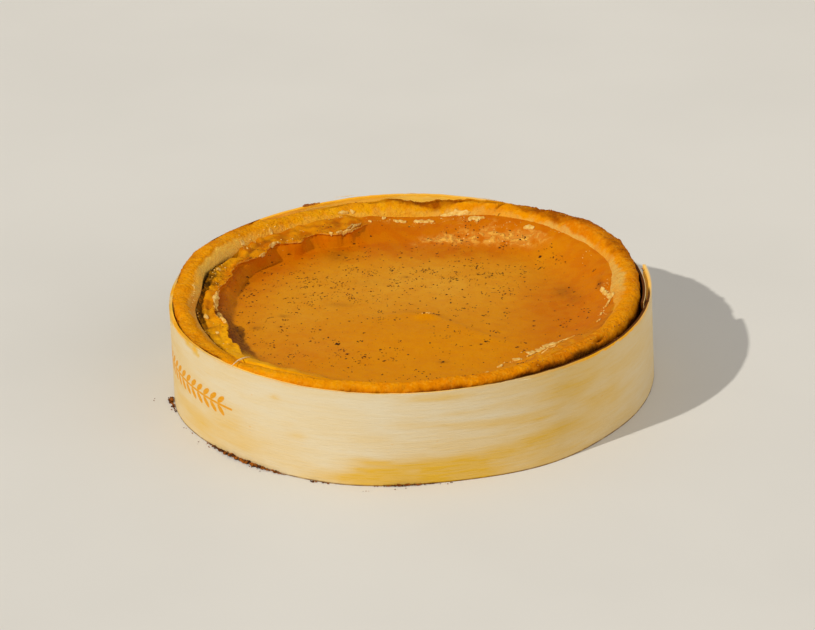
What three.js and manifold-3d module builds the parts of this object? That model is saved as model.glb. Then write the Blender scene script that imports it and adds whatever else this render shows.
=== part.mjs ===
// A whole custard flan, baked in a hand-rolled pastry shell and kept in a band of thin wood veneer.
// Millimetres, +Z up. The origin is on the surface that the flan rests on, under the middle of it.
// Angles are in degrees round the flan: 0 is +X, -90 is the front, 90 is the back.
import * as THREE from "three";
import { mergeVertices } from "three/addons/utils/BufferGeometryUtils.js";
import Module from "manifold-3d";

const wasm = await Module();
wasm.setup();

const { clamp, degToRad, euclideanModulo, lerp, radToDeg, smoothstep } = THREE.MathUtils;

// The outlines are drawn round the pastry's own middle, which lies this far off the box's middle
const MIDDLE = { x: -1.6, y: 0.6 };
// Clearance between neighbouring solids
const CLEARANCE = 0.3;
// Steps round the flan for the pastry shell and the custard
const COLUMNS = 96;

// Veneer band: one strip wound a little more than once round the pastry
const BAND_HEIGHT = 45;
const BAND_THICKNESS = 1.5;
// Outer face of the band at its top edge, slightly out of round as the hand-bent strip is
const BAND_OUTLINE = {
  mean: 114.1,
  waves: [
    { count: 1, depth: 0.97, at: -165 },
    { count: 2, depth: 2.85, at: 46 },
    { count: 3, depth: 1.48, at: -13 },
    { count: 4, depth: 0.36, at: 16 },
  ],
};
// How much wider the band stands at its foot than at its top edge
const BAND_FLARE = {
  mean: 2.3,
  swells: [
    { at: -56, reach: 24, by: 1.9 },
    { at: -104, reach: 20, by: 1.8 },
    { at: -140, reach: 24, by: -2.0 },
    { at: 176, reach: 45, by: -5.2 },
  ],
};
// The top edge was cut a little unevenly
const BAND_WAVER = 0.35;
const BAND_TOP = { mean: BAND_HEIGHT, waves: [{ count: 5, depth: BAND_WAVER, at: 10 }] };
const STRIP_INNER_END = -8;
const STRIP_OUTER_END = 374;
const STRIP_STEP = 4.5;
const STRIP_ROWS = 3;
// The inner ply is tucked in by one thickness and a little air, and eases out over this many degrees
const STRIP_TUCK = BAND_THICKNESS + 0.7;
const STRIP_TUCK_EASE = 36;
// The outer ply's free end springs away from the roll
const STRIP_SPRING = 3;
const STRIP_SPRING_SPAN = 28;

// Pastry shell: air left between it and the band, all the way down and near the top only
const SHELL_AIR = { mean: 0.45, swells: [{ at: 4, reach: 60, by: 2.9 }] };
const SHELL_AIR_AT_TOP = {
  mean: 0,
  swells: [
    { at: -40, reach: 38, by: 2.0 },
    { at: 92, reach: 40, by: 0.8 },
  ],
};
const SHELL_FLOOR = 4;
const SHELL_FOOT_CHAMFER = 1.5;
const CREST_HEIGHT = {
  mean: 47.2,
  waves: [
    { count: 17, depth: 0.25, at: 3 },
    { count: 29, depth: 0.18, at: 7 },
  ],
  swells: [
    { at: 30, reach: 42, by: 3.6 },
    { at: 86, reach: 11, by: -2.3 },
    { at: 112, reach: 44, by: -3.6 },
    { at: 152, reach: 26, by: 1.6 },
    { at: -64, reach: 46, by: 3.0 },
    { at: -140, reach: 26, by: -2.4 },
  ],
};
// Width of the rolled rim, from its outer side to where the custard starts
const RIM_WIDTH = {
  mean: 10.4,
  waves: [{ count: 13, depth: 0.3, at: 11 }],
  swells: [
    { at: 162, reach: 35, by: -2.0 },
    { at: 95, reach: 45, by: 2.2 },
    { at: -145, reach: 40, by: 1.2 },
  ],
};
// The rim bulges out over the band's top edge in two places, and stays this far above it there
const OVERHANG = {
  mean: 0,
  swells: [
    { at: 34, reach: 30, by: 4.2 },
    { at: 157, reach: 28, by: 2.6 },
  ],
};
const OVERHANG_LIFT = 0.8;
// The bulge counts as over the band from this size on
const OVERHANG_START = 0.12;
// The crest lies this far in from the rim's outer side, which rounds down over the shoulder
const CREST_INSET = 4.4;
// The side turns out into a bulge within this height
const BROW_TURN = 1;
const SHOULDER_DEPTH = 5.5;
const SHOULDER_STEPS = 4;
const SLOPE_STEPS = 4;
const SLOPE_ROUNDING = 1.8;
// The shell's inner wall leans in towards its floor
const WALL_LEAN = 5;
// Heights of the points down the shell's outer side, as shares of the band's height
const SIDE_SHARES = [1 / 3, 2 / 3];

// Custard: height of its edge where it meets the pastry
const EDGE_HEIGHT = {
  mean: 43,
  swells: [
    { at: 20, reach: 60, by: 1.6 },
    { at: 88, reach: 26, by: -4.0 },
    { at: 125, reach: 45, by: -1.8 },
    { at: 170, reach: 40, by: -1.0 },
    { at: -150, reach: 40, by: -1.5 },
  ],
};
// The custard's edge is rounded over by this drop and inset
const EDGE_ROUND = { drop: 0.6, inset: 0.5 };
// Crevice where the custard has shrunk away from the pastry, on the left: its floor, how far above
// that the custard steps out, and how deep the custard's own side goes where there is no crevice
const CREVICE_FLOOR = 32;
const CREVICE_STEP = 0.5;
const EDGE_DEPTH = 3;
const CREVICE_WIDTH = {
  mean: 0,
  swells: [
    { at: 175, reach: 32, by: 2.3 },
    { at: -152, reach: 24, by: 0.9 },
  ],
};
// The skin is torn from the left front round to the left back, where its edge is ragged
const TEAR_START = 100;
const TEAR_END = 222;
const TEAR_FADE = 8;
const TEAR_RADIUS = {
  start: 83,
  end: 97,
  swells: [
    { at: 104, reach: 7, by: 4.0 },
    { at: 114, reach: 9, by: -3.0 },
    { at: 123, reach: 8, by: 1.8 },
    { at: 131, reach: 8, by: -2.4 },
    { at: 138, reach: 8, by: 3.4 },
    { at: 147, reach: 9, by: -1.8 },
    { at: 156, reach: 9, by: 1.6 },
    { at: 168, reach: 9, by: -1.2 },
    { at: 190, reach: 8, by: 1.4 },
    { at: 199, reach: 8, by: -2.6 },
    { at: 214, reach: 9, by: 1.6 },
  ],
};
const TEAR_LIP_RISE = 0.5;
// Away from the tear the skin runs on and starts to fall this far in from the pastry
const LIP_INSET = { mean: 3, swells: [{ at: 86, reach: 36, by: 5.5 }] };
const LEDGE_FALL = 0.9;
const LEDGE_LUMPS = { count: 31, depth: 0.45, at: 4 };
const LEDGE_STEPS = 3;
// The ledge ends this far out from the torn lip
const LEDGE_FOOT = 0.4;
// Foot of the slope that the sunken skin makes, and how steadily that slope steepens outwards:
// 1 is a wall with a rounded foot and brow, 0 is a dish that is steepest at its lip
const BOWL_RADIUS = {
  mean: 80,
  swells: [
    { at: 10, reach: 60, by: -10 },
    { at: 82, reach: 40, by: -6 },
    { at: 152, reach: 40, by: 6 },
    { at: -150, reach: 44, by: 6 },
  ],
};
const WALL_SHARE = {
  mean: 0,
  swells: [
    { at: 165, reach: 95, by: 1 },
    { at: 85, reach: 45, by: 0.6 },
  ],
};
const DISH_ROUNDING = 2.1;
const WALL_STEPS = 3;
const BOWL_FLOOR = 34.6;
const BOWL_RINGS = [0.87, 0.72, 0.56, 0.4, 0.24, 0.1];
// Low mound that the sunken skin keeps in front of the middle
const MOUND = { x: 10, y: -30, length: 62, depth: 34, height: 1.9 };

// Pale flakes of burst skin and pastry that lie on the custard: place, length, width and turn
const FLAKES = [
  { x: 32, y: 89, length: 9, width: 4, turn: 6 },
  { x: 19, y: 96, length: 13, width: 2.6, turn: 8 },
  { x: -6, y: 89, length: 8, width: 3, turn: -4 },
  { x: -18, y: 92, length: 5, width: 4, turn: 0 },
  { x: -34, y: 95, length: 6, width: 3, turn: 24 },
  { x: 6, y: 87, length: 5, width: 2.2, turn: 0 },
  { x: 58, y: 79, length: 5, width: 2.6, turn: -12 },
  { x: 92, y: 3, length: 10, width: 4.6, turn: 106 },
  { x: 91, y: -9, length: 5, width: 3.2, turn: 84 },
  { x: 90, y: -23, length: 3.4, width: 2.4, turn: 60 },
  { x: 77, y: -59, length: 11, width: 3.2, turn: 34 },
  { x: 68, y: -66, length: 10, width: 3.2, turn: 42 },
  { x: 57, y: -71, length: 5, width: 3, turn: 20 },
  { x: -92, y: -26, length: 4.2, width: 3.6, turn: 30 },
  { x: -86, y: -34, length: 9, width: 5, turn: -52 },
  { x: -92, y: -8, length: 8, width: 3.4, turn: 84 },
];
const FLAKE_SIDES = 7;
// Height over the custard, and the shares of it and of the outline's reach that corners vary between
const FLAKE_RISE = 0.9;
const FLAKE_RISE_SHARES = [0.7, 1];
const FLAKE_REACH_SHARES = [0.8, 1.2];
// The flakes reach this far down into the custard
const FLAKE_ROOT = 0.8;
// Flakes keep this far in from the edge of the custard
const FLAKE_SHORE = 0.6;
const FLAKE_SEED = 11;

// Custard that ran out under the band and burnt on at its foot
const SEEPS = [
  { name: "burnt_seep_left", from: -142, to: -118, width: 1.9, height: 1.7, seed: 3 },
  { name: "burnt_seep_front", from: -98, to: -84, width: 1.2, height: 1.1, seed: 5 },
];
const SEEP_STEP = 1.2;
// Size left at a run's two ends, and how widths and heights vary along it
const SEEP_END_SHARE = 0.25;
const SEEP_WIDTH_SHARES = [0.6, 1.2];
const SEEP_HEIGHT_SHARES = [0.7, 1.2];
// The run's outer brow, as shares of its width and height there
const SEEP_BROW = { out: 0.7, up: 0.6 };

// Value at an angle of a curve given by its mean, waves round the flan and local swells
function level(angle, { mean = 0, waves = [], swells = [] }) {
  let value = mean;
  for (const { count, depth, at } of waves) {
    value += depth * Math.cos(degToRad(count * (angle - at)));
  }
  for (const { at, reach, by } of swells) {
    value += by * swell(angle - at, reach);
  }
  return value;
}

// Raised cosine: 1 at no offset, 0 from the reach outwards
function swell(offset, reach) {
  const turn = euclideanModulo(offset + 180, 360) - 180;
  return Math.abs(turn) < reach ? 0.5 * (1 + Math.cos((Math.PI * turn) / reach)) : 0;
}

// Repeatable random numbers from 0 to 1
function seededDraw(seed) {
  let state = seed * 7919 + 17;
  return () => {
    state = (state * 16807) % 2147483647;
    return state / 2147483647;
  };
}

function bandOuter(angle, z) {
  return level(angle, BAND_OUTLINE) + level(angle, BAND_FLARE) * (1 - z / BAND_HEIGHT);
}

function shellOuter(angle, z) {
  const rise = Math.min(z / BAND_HEIGHT, 1);
  const air = level(angle, SHELL_AIR) + level(angle, SHELL_AIR_AT_TOP) * rise * rise;
  return bandOuter(angle, Math.min(z, BAND_HEIGHT)) - BAND_THICKNESS - air;
}

// Where the pastry's inner slope ends and the custard starts
function rimInner(angle) {
  return shellOuter(angle, BAND_HEIGHT) - level(angle, RIM_WIDTH);
}

function shellWall(angle, z) {
  const drop = 1 - Math.min(z / level(angle, EDGE_HEIGHT), 1);
  return rimInner(angle) - WALL_LEAN * drop;
}

// Share of the torn skin at an angle: 1 inside the tear, 0 away from it
function tornShare(angle) {
  const turn = euclideanModulo(angle, 360);
  const opening = smoothstep(turn, TEAR_START, TEAR_START + TEAR_FADE);
  return opening * (1 - smoothstep(turn, TEAR_END - TEAR_FADE, TEAR_END));
}

// Radius where the skin starts to fall into the bowl
function lipRadius(angle) {
  const turn = euclideanModulo(angle, 360);
  const along = clamp((turn - TEAR_START) / (TEAR_END - TEAR_START), 0, 1);
  const torn = lerp(TEAR_RADIUS.start, TEAR_RADIUS.end, along) + level(angle, TEAR_RADIUS);
  return lerp(custardEdge(angle) - level(angle, LIP_INSET), torn, tornShare(angle));
}

function custardEdge(angle) {
  return rimInner(angle) - CLEARANCE - level(angle, CREVICE_WIDTH);
}

function mound(x, y) {
  const across = ((x - MOUND.x) / MOUND.length) ** 2 + ((y - MOUND.y) / MOUND.depth) ** 2;
  return MOUND.height * Math.exp(-2 * across);
}

// Height of the custard's top at a radius and angle, from its centre out to the ledge
function custardTop(angle, radius) {
  const turn = degToRad(angle);
  const floor = BOWL_FLOOR + mound(radius * Math.cos(turn), radius * Math.sin(turn));
  const foot = level(angle, BOWL_RADIUS);
  const lip = lipRadius(angle);
  const edge = level(angle, EDGE_HEIGHT);
  const brim = edge - LEDGE_FALL + TEAR_LIP_RISE * tornShare(angle);
  if (radius <= lip) {
    const out = clamp((radius - foot) / (lip - foot), 0, 1);
    const wall = clamp(level(angle, WALL_SHARE), 0, 1);
    return lerp(floor, brim, lerp(out ** DISH_ROUNDING, smoothstep(out, 0, 1), wall));
  }
  const lumps = tornShare(angle) * level(angle, { waves: [LEDGE_LUMPS] });
  const out = (radius - lip) / (custardEdge(angle) - lip);
  return lerp(brim, edge, out) + lumps * Math.sin(Math.PI * Math.min(out, 1));
}

// Closed solid round the Z axis: every column gives the same count of [radius, height] points,
// from the bottom pole outwards and up to the top pole
function turnedSolid(profileAt) {
  const columns = Array.from({ length: COLUMNS }, (_, i) => profileAt((360 * i) / COLUMNS));
  const rings = columns[0].length - 2;
  const positions = [];
  columns.forEach((profile, i) => {
    for (const [radius, height] of profile.slice(1, -1)) {
      positions.push(...polar(radius, (360 * i) / COLUMNS, height));
    }
  });
  const low = COLUMNS * rings;
  const high = low + 1;
  positions.push(0, 0, columns[0][0][1], 0, 0, columns[0][rings + 1][1]);
  const index = [];
  for (let i = 0; i < COLUMNS; i += 1) {
    const here = i * rings;
    const next = ((i + 1) % COLUMNS) * rings;
    index.push(low, next, here);
    for (let j = 0; j + 1 < rings; j += 1) {
      index.push(here + j, next + j, next + j + 1);
      index.push(here + j, next + j + 1, here + j + 1);
    }
    index.push(high, here + rings - 1, next + rings - 1);
  }
  return indexedGeometry(positions, index);
}

function indexedGeometry(positions, index) {
  const geometry = new THREE.BufferGeometry();
  geometry.setAttribute("position", new THREE.Float32BufferAttribute(positions, 3));
  geometry.setIndex(index);
  return geometry;
}

// Closed solid through rings of [x, y, z], each running clockwise as seen looking along the sweep
function sweptSolid(rings) {
  const size = rings[0].length;
  const index = [];
  for (let i = 0; i + 1 < rings.length; i += 1) {
    for (let j = 0; j < size; j += 1) {
      const here = i * size + j;
      const beside = i * size + ((j + 1) % size);
      index.push(here, beside, beside + size);
      index.push(here, beside + size, here + size);
    }
  }
  const last = (rings.length - 1) * size;
  for (let j = 1; j + 1 < size; j += 1) {
    index.push(0, j + 1, j);
    index.push(last, last + j, last + j + 1);
  }
  return indexedGeometry(rings.flat(2), index);
}

function polar(radius, angle, z) {
  const turn = degToRad(angle);
  return [radius * Math.cos(turn), radius * Math.sin(turn), z];
}

function veneerBand() {
  const rings = [];
  const steps = Math.round((STRIP_OUTER_END - STRIP_INNER_END) / STRIP_STEP);
  for (let i = 0; i <= steps; i += 1) {
    const along = lerp(STRIP_INNER_END, STRIP_OUTER_END, i / steps);
    const eased = smoothstep(along, STRIP_OUTER_END - 360, STRIP_OUTER_END - 360 + STRIP_TUCK_EASE);
    const free = Math.max(0, 1 - (STRIP_OUTER_END - along) / STRIP_SPRING_SPAN);
    const offset = STRIP_SPRING * free * free - STRIP_TUCK * (1 - eased);
    const top = level(along, BAND_TOP);
    const heights = Array.from({ length: STRIP_ROWS + 1 }, (_, j) => (top * j) / STRIP_ROWS);
    const face = (inset) => heights.map((z) => polar(bandOuter(along, z) + offset - inset, along, z));
    rings.push([...face(BAND_THICKNESS), ...face(0).reverse()]);
  }
  return sweptSolid(rings);
}

function pastryProfile(angle) {
  const outer = shellOuter(angle, BAND_HEIGHT);
  const overhang = level(angle, OVERHANG);
  const crest = level(angle, CREST_HEIGHT);
  const aboveBand = Math.max(crest - SHOULDER_DEPTH, BAND_HEIGHT + BAND_WAVER + OVERHANG_LIFT);
  const brow = lerp(crest - SHOULDER_DEPTH, aboveBand, smoothstep(overhang, 0, OVERHANG_START));
  const inner = rimInner(angle);
  const edge = level(angle, EDGE_HEIGHT) - CLEARANCE;
  const profile = [
    [0, 0],
    [shellOuter(angle, 0) - SHELL_FOOT_CHAMFER, 0],
    [shellOuter(angle, SHELL_FOOT_CHAMFER), SHELL_FOOT_CHAMFER],
  ];
  for (const share of SIDE_SHARES) {
    profile.push([shellOuter(angle, share * BAND_HEIGHT), share * BAND_HEIGHT]);
  }
  profile.push([outer, brow - BROW_TURN]);
  for (let i = 0; i <= SHOULDER_STEPS; i += 1) {
    const turn = (Math.PI / 2) * (i / SHOULDER_STEPS);
    profile.push([
      outer - CREST_INSET + (CREST_INSET + overhang) * Math.cos(turn),
      lerp(brow, crest, Math.sin(turn)),
    ]);
  }
  for (let i = 1; i <= SLOPE_STEPS; i += 1) {
    const share = i / SLOPE_STEPS;
    profile.push([
      lerp(outer - CREST_INSET, inner, share),
      lerp(crest, edge, share ** SLOPE_ROUNDING),
    ]);
  }
  profile.push([shellWall(angle, CREVICE_FLOOR), CREVICE_FLOOR]);
  profile.push([shellWall(angle, SHELL_FLOOR), SHELL_FLOOR]);
  profile.push([0, SHELL_FLOOR]);
  return profile;
}

function custardProfile(angle) {
  const bottom = SHELL_FLOOR + CLEARANCE;
  const side = (z) => shellWall(angle, z) - CLEARANCE;
  const edge = level(angle, EDGE_HEIGHT);
  const edgeRadius = custardEdge(angle);
  const lip = lipRadius(angle);
  const foot = level(angle, BOWL_RADIUS);
  const crack = smoothstep(level(angle, CREVICE_WIDTH), 0, 1);
  const heel = lerp(edge - EDGE_DEPTH, CREVICE_FLOOR + CREVICE_STEP, crack);
  const profile = [
    [0, bottom],
    [side(bottom), bottom],
    [side(CREVICE_FLOOR), CREVICE_FLOOR],
    [Math.min(side(heel), edgeRadius), heel],
    [edgeRadius, edge - EDGE_ROUND.drop],
  ];
  for (let i = 0; i < LEDGE_STEPS; i += 1) {
    const radius = lerp(edgeRadius - EDGE_ROUND.inset, lip + LEDGE_FOOT, i / (LEDGE_STEPS - 1));
    profile.push([radius, custardTop(angle, radius)]);
  }
  for (let i = 0; i <= WALL_STEPS; i += 1) {
    const radius = lerp(lip, foot, i / WALL_STEPS);
    profile.push([radius, custardTop(angle, radius)]);
  }
  for (const share of BOWL_RINGS) {
    profile.push([foot * share, custardTop(angle, foot * share)]);
  }
  profile.push([0, custardTop(0, 0)]);
  return profile;
}

// A thin flake with a ragged outline that follows the custard under it
function flakePlate({ x, y, length, width, turn }, draw) {
  const spin = degToRad(turn);
  const rim = [];
  for (let i = 0; i < FLAKE_SIDES; i += 1) {
    const around = (2 * Math.PI * i) / FLAKE_SIDES;
    const reach = lerp(...FLAKE_REACH_SHARES, draw());
    const along = 0.5 * length * reach * Math.cos(around);
    const across = 0.5 * width * reach * Math.sin(around);
    const px = x + along * Math.cos(spin) - across * Math.sin(spin);
    const py = y + along * Math.sin(spin) + across * Math.cos(spin);
    const angle = radToDeg(Math.atan2(py, px));
    const radius = Math.min(Math.hypot(px, py), custardEdge(angle) - FLAKE_SHORE);
    rim.push({ angle, radius, base: custardTop(angle, radius) });
  }
  const root = rim.map(({ angle, radius, base }) => polar(radius, angle, base - FLAKE_ROOT));
  const top = rim.map(({ angle, radius, base }) =>
    polar(radius, angle, base + FLAKE_RISE * lerp(...FLAKE_RISE_SHARES, draw())),
  );
  return sweptSolid([root, top]);
}

function toManifold(geometry) {
  const merged = mergeVertices(geometry);
  return new wasm.Manifold(
    new wasm.Mesh({
      numProp: 3,
      vertProperties: new Float32Array(merged.getAttribute("position").array),
      triVerts: new Uint32Array(merged.getIndex().array),
    }),
  );
}

function fromManifold(solid) {
  const mesh = solid.getMesh();
  return indexedGeometry(Array.from(mesh.vertProperties), Array.from(mesh.triVerts));
}

function custardBody() {
  const draw = seededDraw(FLAKE_SEED);
  let solid = toManifold(turnedSolid(custardProfile));
  for (const flake of FLAKES) {
    solid = solid.add(toManifold(flakePlate(flake, draw)));
  }
  return fromManifold(solid);
}

// A ragged run of burnt custard against the foot of the band
function seepStrip({ from, to, width, height, seed }) {
  const draw = seededDraw(seed);
  const steps = Math.round((to - from) / SEEP_STEP);
  const rings = [];
  for (let i = 0; i <= steps; i += 1) {
    const angle = lerp(from, to, i / steps);
    const fade = lerp(SEEP_END_SHARE, 1, Math.sin((Math.PI * i) / steps));
    const reach = width * fade * lerp(...SEEP_WIDTH_SHARES, draw());
    const rise = height * fade * lerp(...SEEP_HEIGHT_SHARES, draw());
    const foot = bandOuter(angle, 0) + CLEARANCE;
    rings.push([
      polar(foot, angle, 0),
      polar(foot, angle, rise),
      polar(foot + SEEP_BROW.out * reach, angle, SEEP_BROW.up * rise),
      polar(foot + reach, angle, 0),
    ]);
  }
  return sweptSolid(rings);
}

function piece(name, geometry, color, roughness) {
  const material = new THREE.MeshStandardMaterial({ color, roughness, metalness: 0 });
  const mesh = new THREE.Mesh(geometry, material);
  mesh.name = name;
  return mesh;
}

const flan = new THREE.Group();
flan.position.set(MIDDLE.x, MIDDLE.y, 0);
flan.add(piece("veneer_band", veneerBand(), 0xe3c48c, 0.62));
flan.add(piece("pastry_shell", turnedSolid(pastryProfile), 0xd98f2a, 0.7));
flan.add(piece("custard", custardBody(), 0xd08a1e, 0.35));
for (const seep of SEEPS) {
  flan.add(piece(seep.name, seepStrip(seep), 0x4a2412, 0.8));
}

export default flan;
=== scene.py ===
import logging
import math
from dataclasses import dataclass, field
from enum import Enum
from typing import Sequence

import bpy
import numpy as np
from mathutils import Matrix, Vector
from mathutils.bvhtree import BVHTree


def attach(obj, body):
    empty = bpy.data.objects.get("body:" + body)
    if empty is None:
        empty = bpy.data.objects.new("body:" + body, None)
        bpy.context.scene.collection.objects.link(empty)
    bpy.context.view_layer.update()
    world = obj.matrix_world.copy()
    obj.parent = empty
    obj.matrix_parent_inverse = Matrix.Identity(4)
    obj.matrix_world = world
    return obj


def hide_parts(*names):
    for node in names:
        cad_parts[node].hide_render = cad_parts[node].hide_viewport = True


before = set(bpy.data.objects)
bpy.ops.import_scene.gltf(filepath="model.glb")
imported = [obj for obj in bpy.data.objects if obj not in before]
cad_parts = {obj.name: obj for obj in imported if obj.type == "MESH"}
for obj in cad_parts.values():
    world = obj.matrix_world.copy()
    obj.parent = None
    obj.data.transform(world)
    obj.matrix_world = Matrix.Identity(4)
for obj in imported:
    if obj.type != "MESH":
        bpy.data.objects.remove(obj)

# A baked custard flan in a rolled pastry shell, standing in a band of thin wood veneer.
# Sizes are in millimetres round the pastry's own middle, angles in degrees: 0 is +X, -90 the front.

LOG = logging.getLogger("flan")
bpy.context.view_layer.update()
MM = 0.001
# The pastry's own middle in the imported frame
MIDDLE = np.array([-1.6, 0.6, 0.0])

Array = np.ndarray
Piece = bpy.types.Object
Mesh = bpy.types.Mesh
Material = bpy.types.Material
NodeTree = bpy.types.NodeTree
Socket = bpy.types.NodeSocket
Colour = tuple[float, float, float]
BLACK: Colour = (0.0, 0.0, 0.0)


def ease(value: Array, low: float, high: float) -> Array:
    """Rise smoothly from 0 at low to 1 at high."""
    share = np.clip((value - low) / (high - low), 0.0, 1.0)
    return share * share * (3.0 - 2.0 * share)


def fall(value: Array, low: float, high: float) -> Array:
    """Fall smoothly from 1 at low to 0 at high."""
    return 1 - ease(value, low, high)


def unit(value: Array) -> Array:
    """Keep numbers between 0 and 1."""
    return np.clip(value, 0, 1)


def blend(first: Array, second: Array, share: Array) -> Array:
    """Go from first to second by a share."""
    return first + (second - first) * share


def hump(distance: Array, width: float) -> Array:
    """Bell that is 1 at no distance and has faded at twice its width."""
    return np.exp(-((distance / width) ** 2))


def turn_between(angle: Array, middle: float) -> Array:
    """Signed turn in degrees from a middle angle."""
    return (np.asarray(angle) - middle + 180.0) % 360.0 - 180.0


def near(angle: Array, middle: float, width: float) -> Array:
    """Bell round an angle."""
    return hump(turn_between(angle, middle), width)


def blot(x: Array, y: Array, spot: tuple[float, float, float, float]) -> Array:
    """Bell round a spot, which has a middle x and y and half sizes along x and y."""
    middle_x, middle_y, half_x, half_y = spot
    return hump(np.hypot((x - middle_x) / half_x, (y - middle_y) / half_y), 1.0)


def radius_of(points: Array) -> Array:
    """Distances of points from the upright axis."""
    return np.hypot(points[..., 0], points[..., 1])


def angle_of(points: Array) -> Array:
    """Angles of points round the upright axis, in degrees."""
    return np.degrees(np.arctan2(points[..., 1], points[..., 0]))


@dataclass(frozen=True)
class Curve:
    """A size that changes round the flan: a mean, waves (count, depth, at), swells (at, reach, by)."""

    mean: float = 0.0
    waves: tuple[tuple[float, float, float], ...] = ()
    swells: tuple[tuple[float, float, float], ...] = ()

    def at(self, angle: Array) -> Array:
        """Work out the curve.

        Args:
            angle: Angles round the flan in degrees.

        Returns:
            The value at each angle.
        """
        angle = np.asarray(angle, dtype=float)
        value = np.full(angle.shape, self.mean)
        for count, depth, start in self.waves:
            value += depth * np.cos(np.radians(count * (angle - start)))
        for middle, reach, by in self.swells:
            turn = turn_between(angle, middle)
            value += np.where(np.abs(turn) < reach, 0.5 * by * (1 + np.cos(np.pi * turn / reach)), 0)
        return value


@dataclass(frozen=True)
class NoiseField:
    """Smooth seeded noise in space."""

    seed: int

    def at(self, points: Array, size: float) -> Array:
        """Work out the noise at points.

        Args:
            points: Places in millimetres, with x, y and z on the last axis.
            size: Size of one lump in millimetres.

        Returns:
            Values from -1 to 1.
        """
        table = np.random.default_rng(self.seed).random(8192) * 2.0 - 1.0
        place = np.asarray(points, dtype=float) / size
        cell = np.floor(place).astype(np.int64)
        part = place - cell
        part = part * part * (3.0 - 2.0 * part)
        total = np.zeros(place.shape[:-1])
        for corner in range(8):
            step = np.array([corner & 1, (corner >> 1) & 1, corner >> 2])
            spot = cell + step
            key = (spot[..., 0] * 73856093) ^ (spot[..., 1] * 19349663) ^ (spot[..., 2] * 83492791)
            weight = np.prod(np.where(step == 1, part, 1.0 - part), axis=-1)
            total += weight * table[key & 8191]
        return total

    def layered(self, points: Array, size: float, layers: int = 3) -> Array:
        """Add finer and fainter noise to a first layer, about -1 to 1."""
        parts = [0.55**n * self.at(points + 31.7 * n, size * 0.5**n) for n in range(layers)]
        return np.sum(parts, axis=0)


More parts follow.
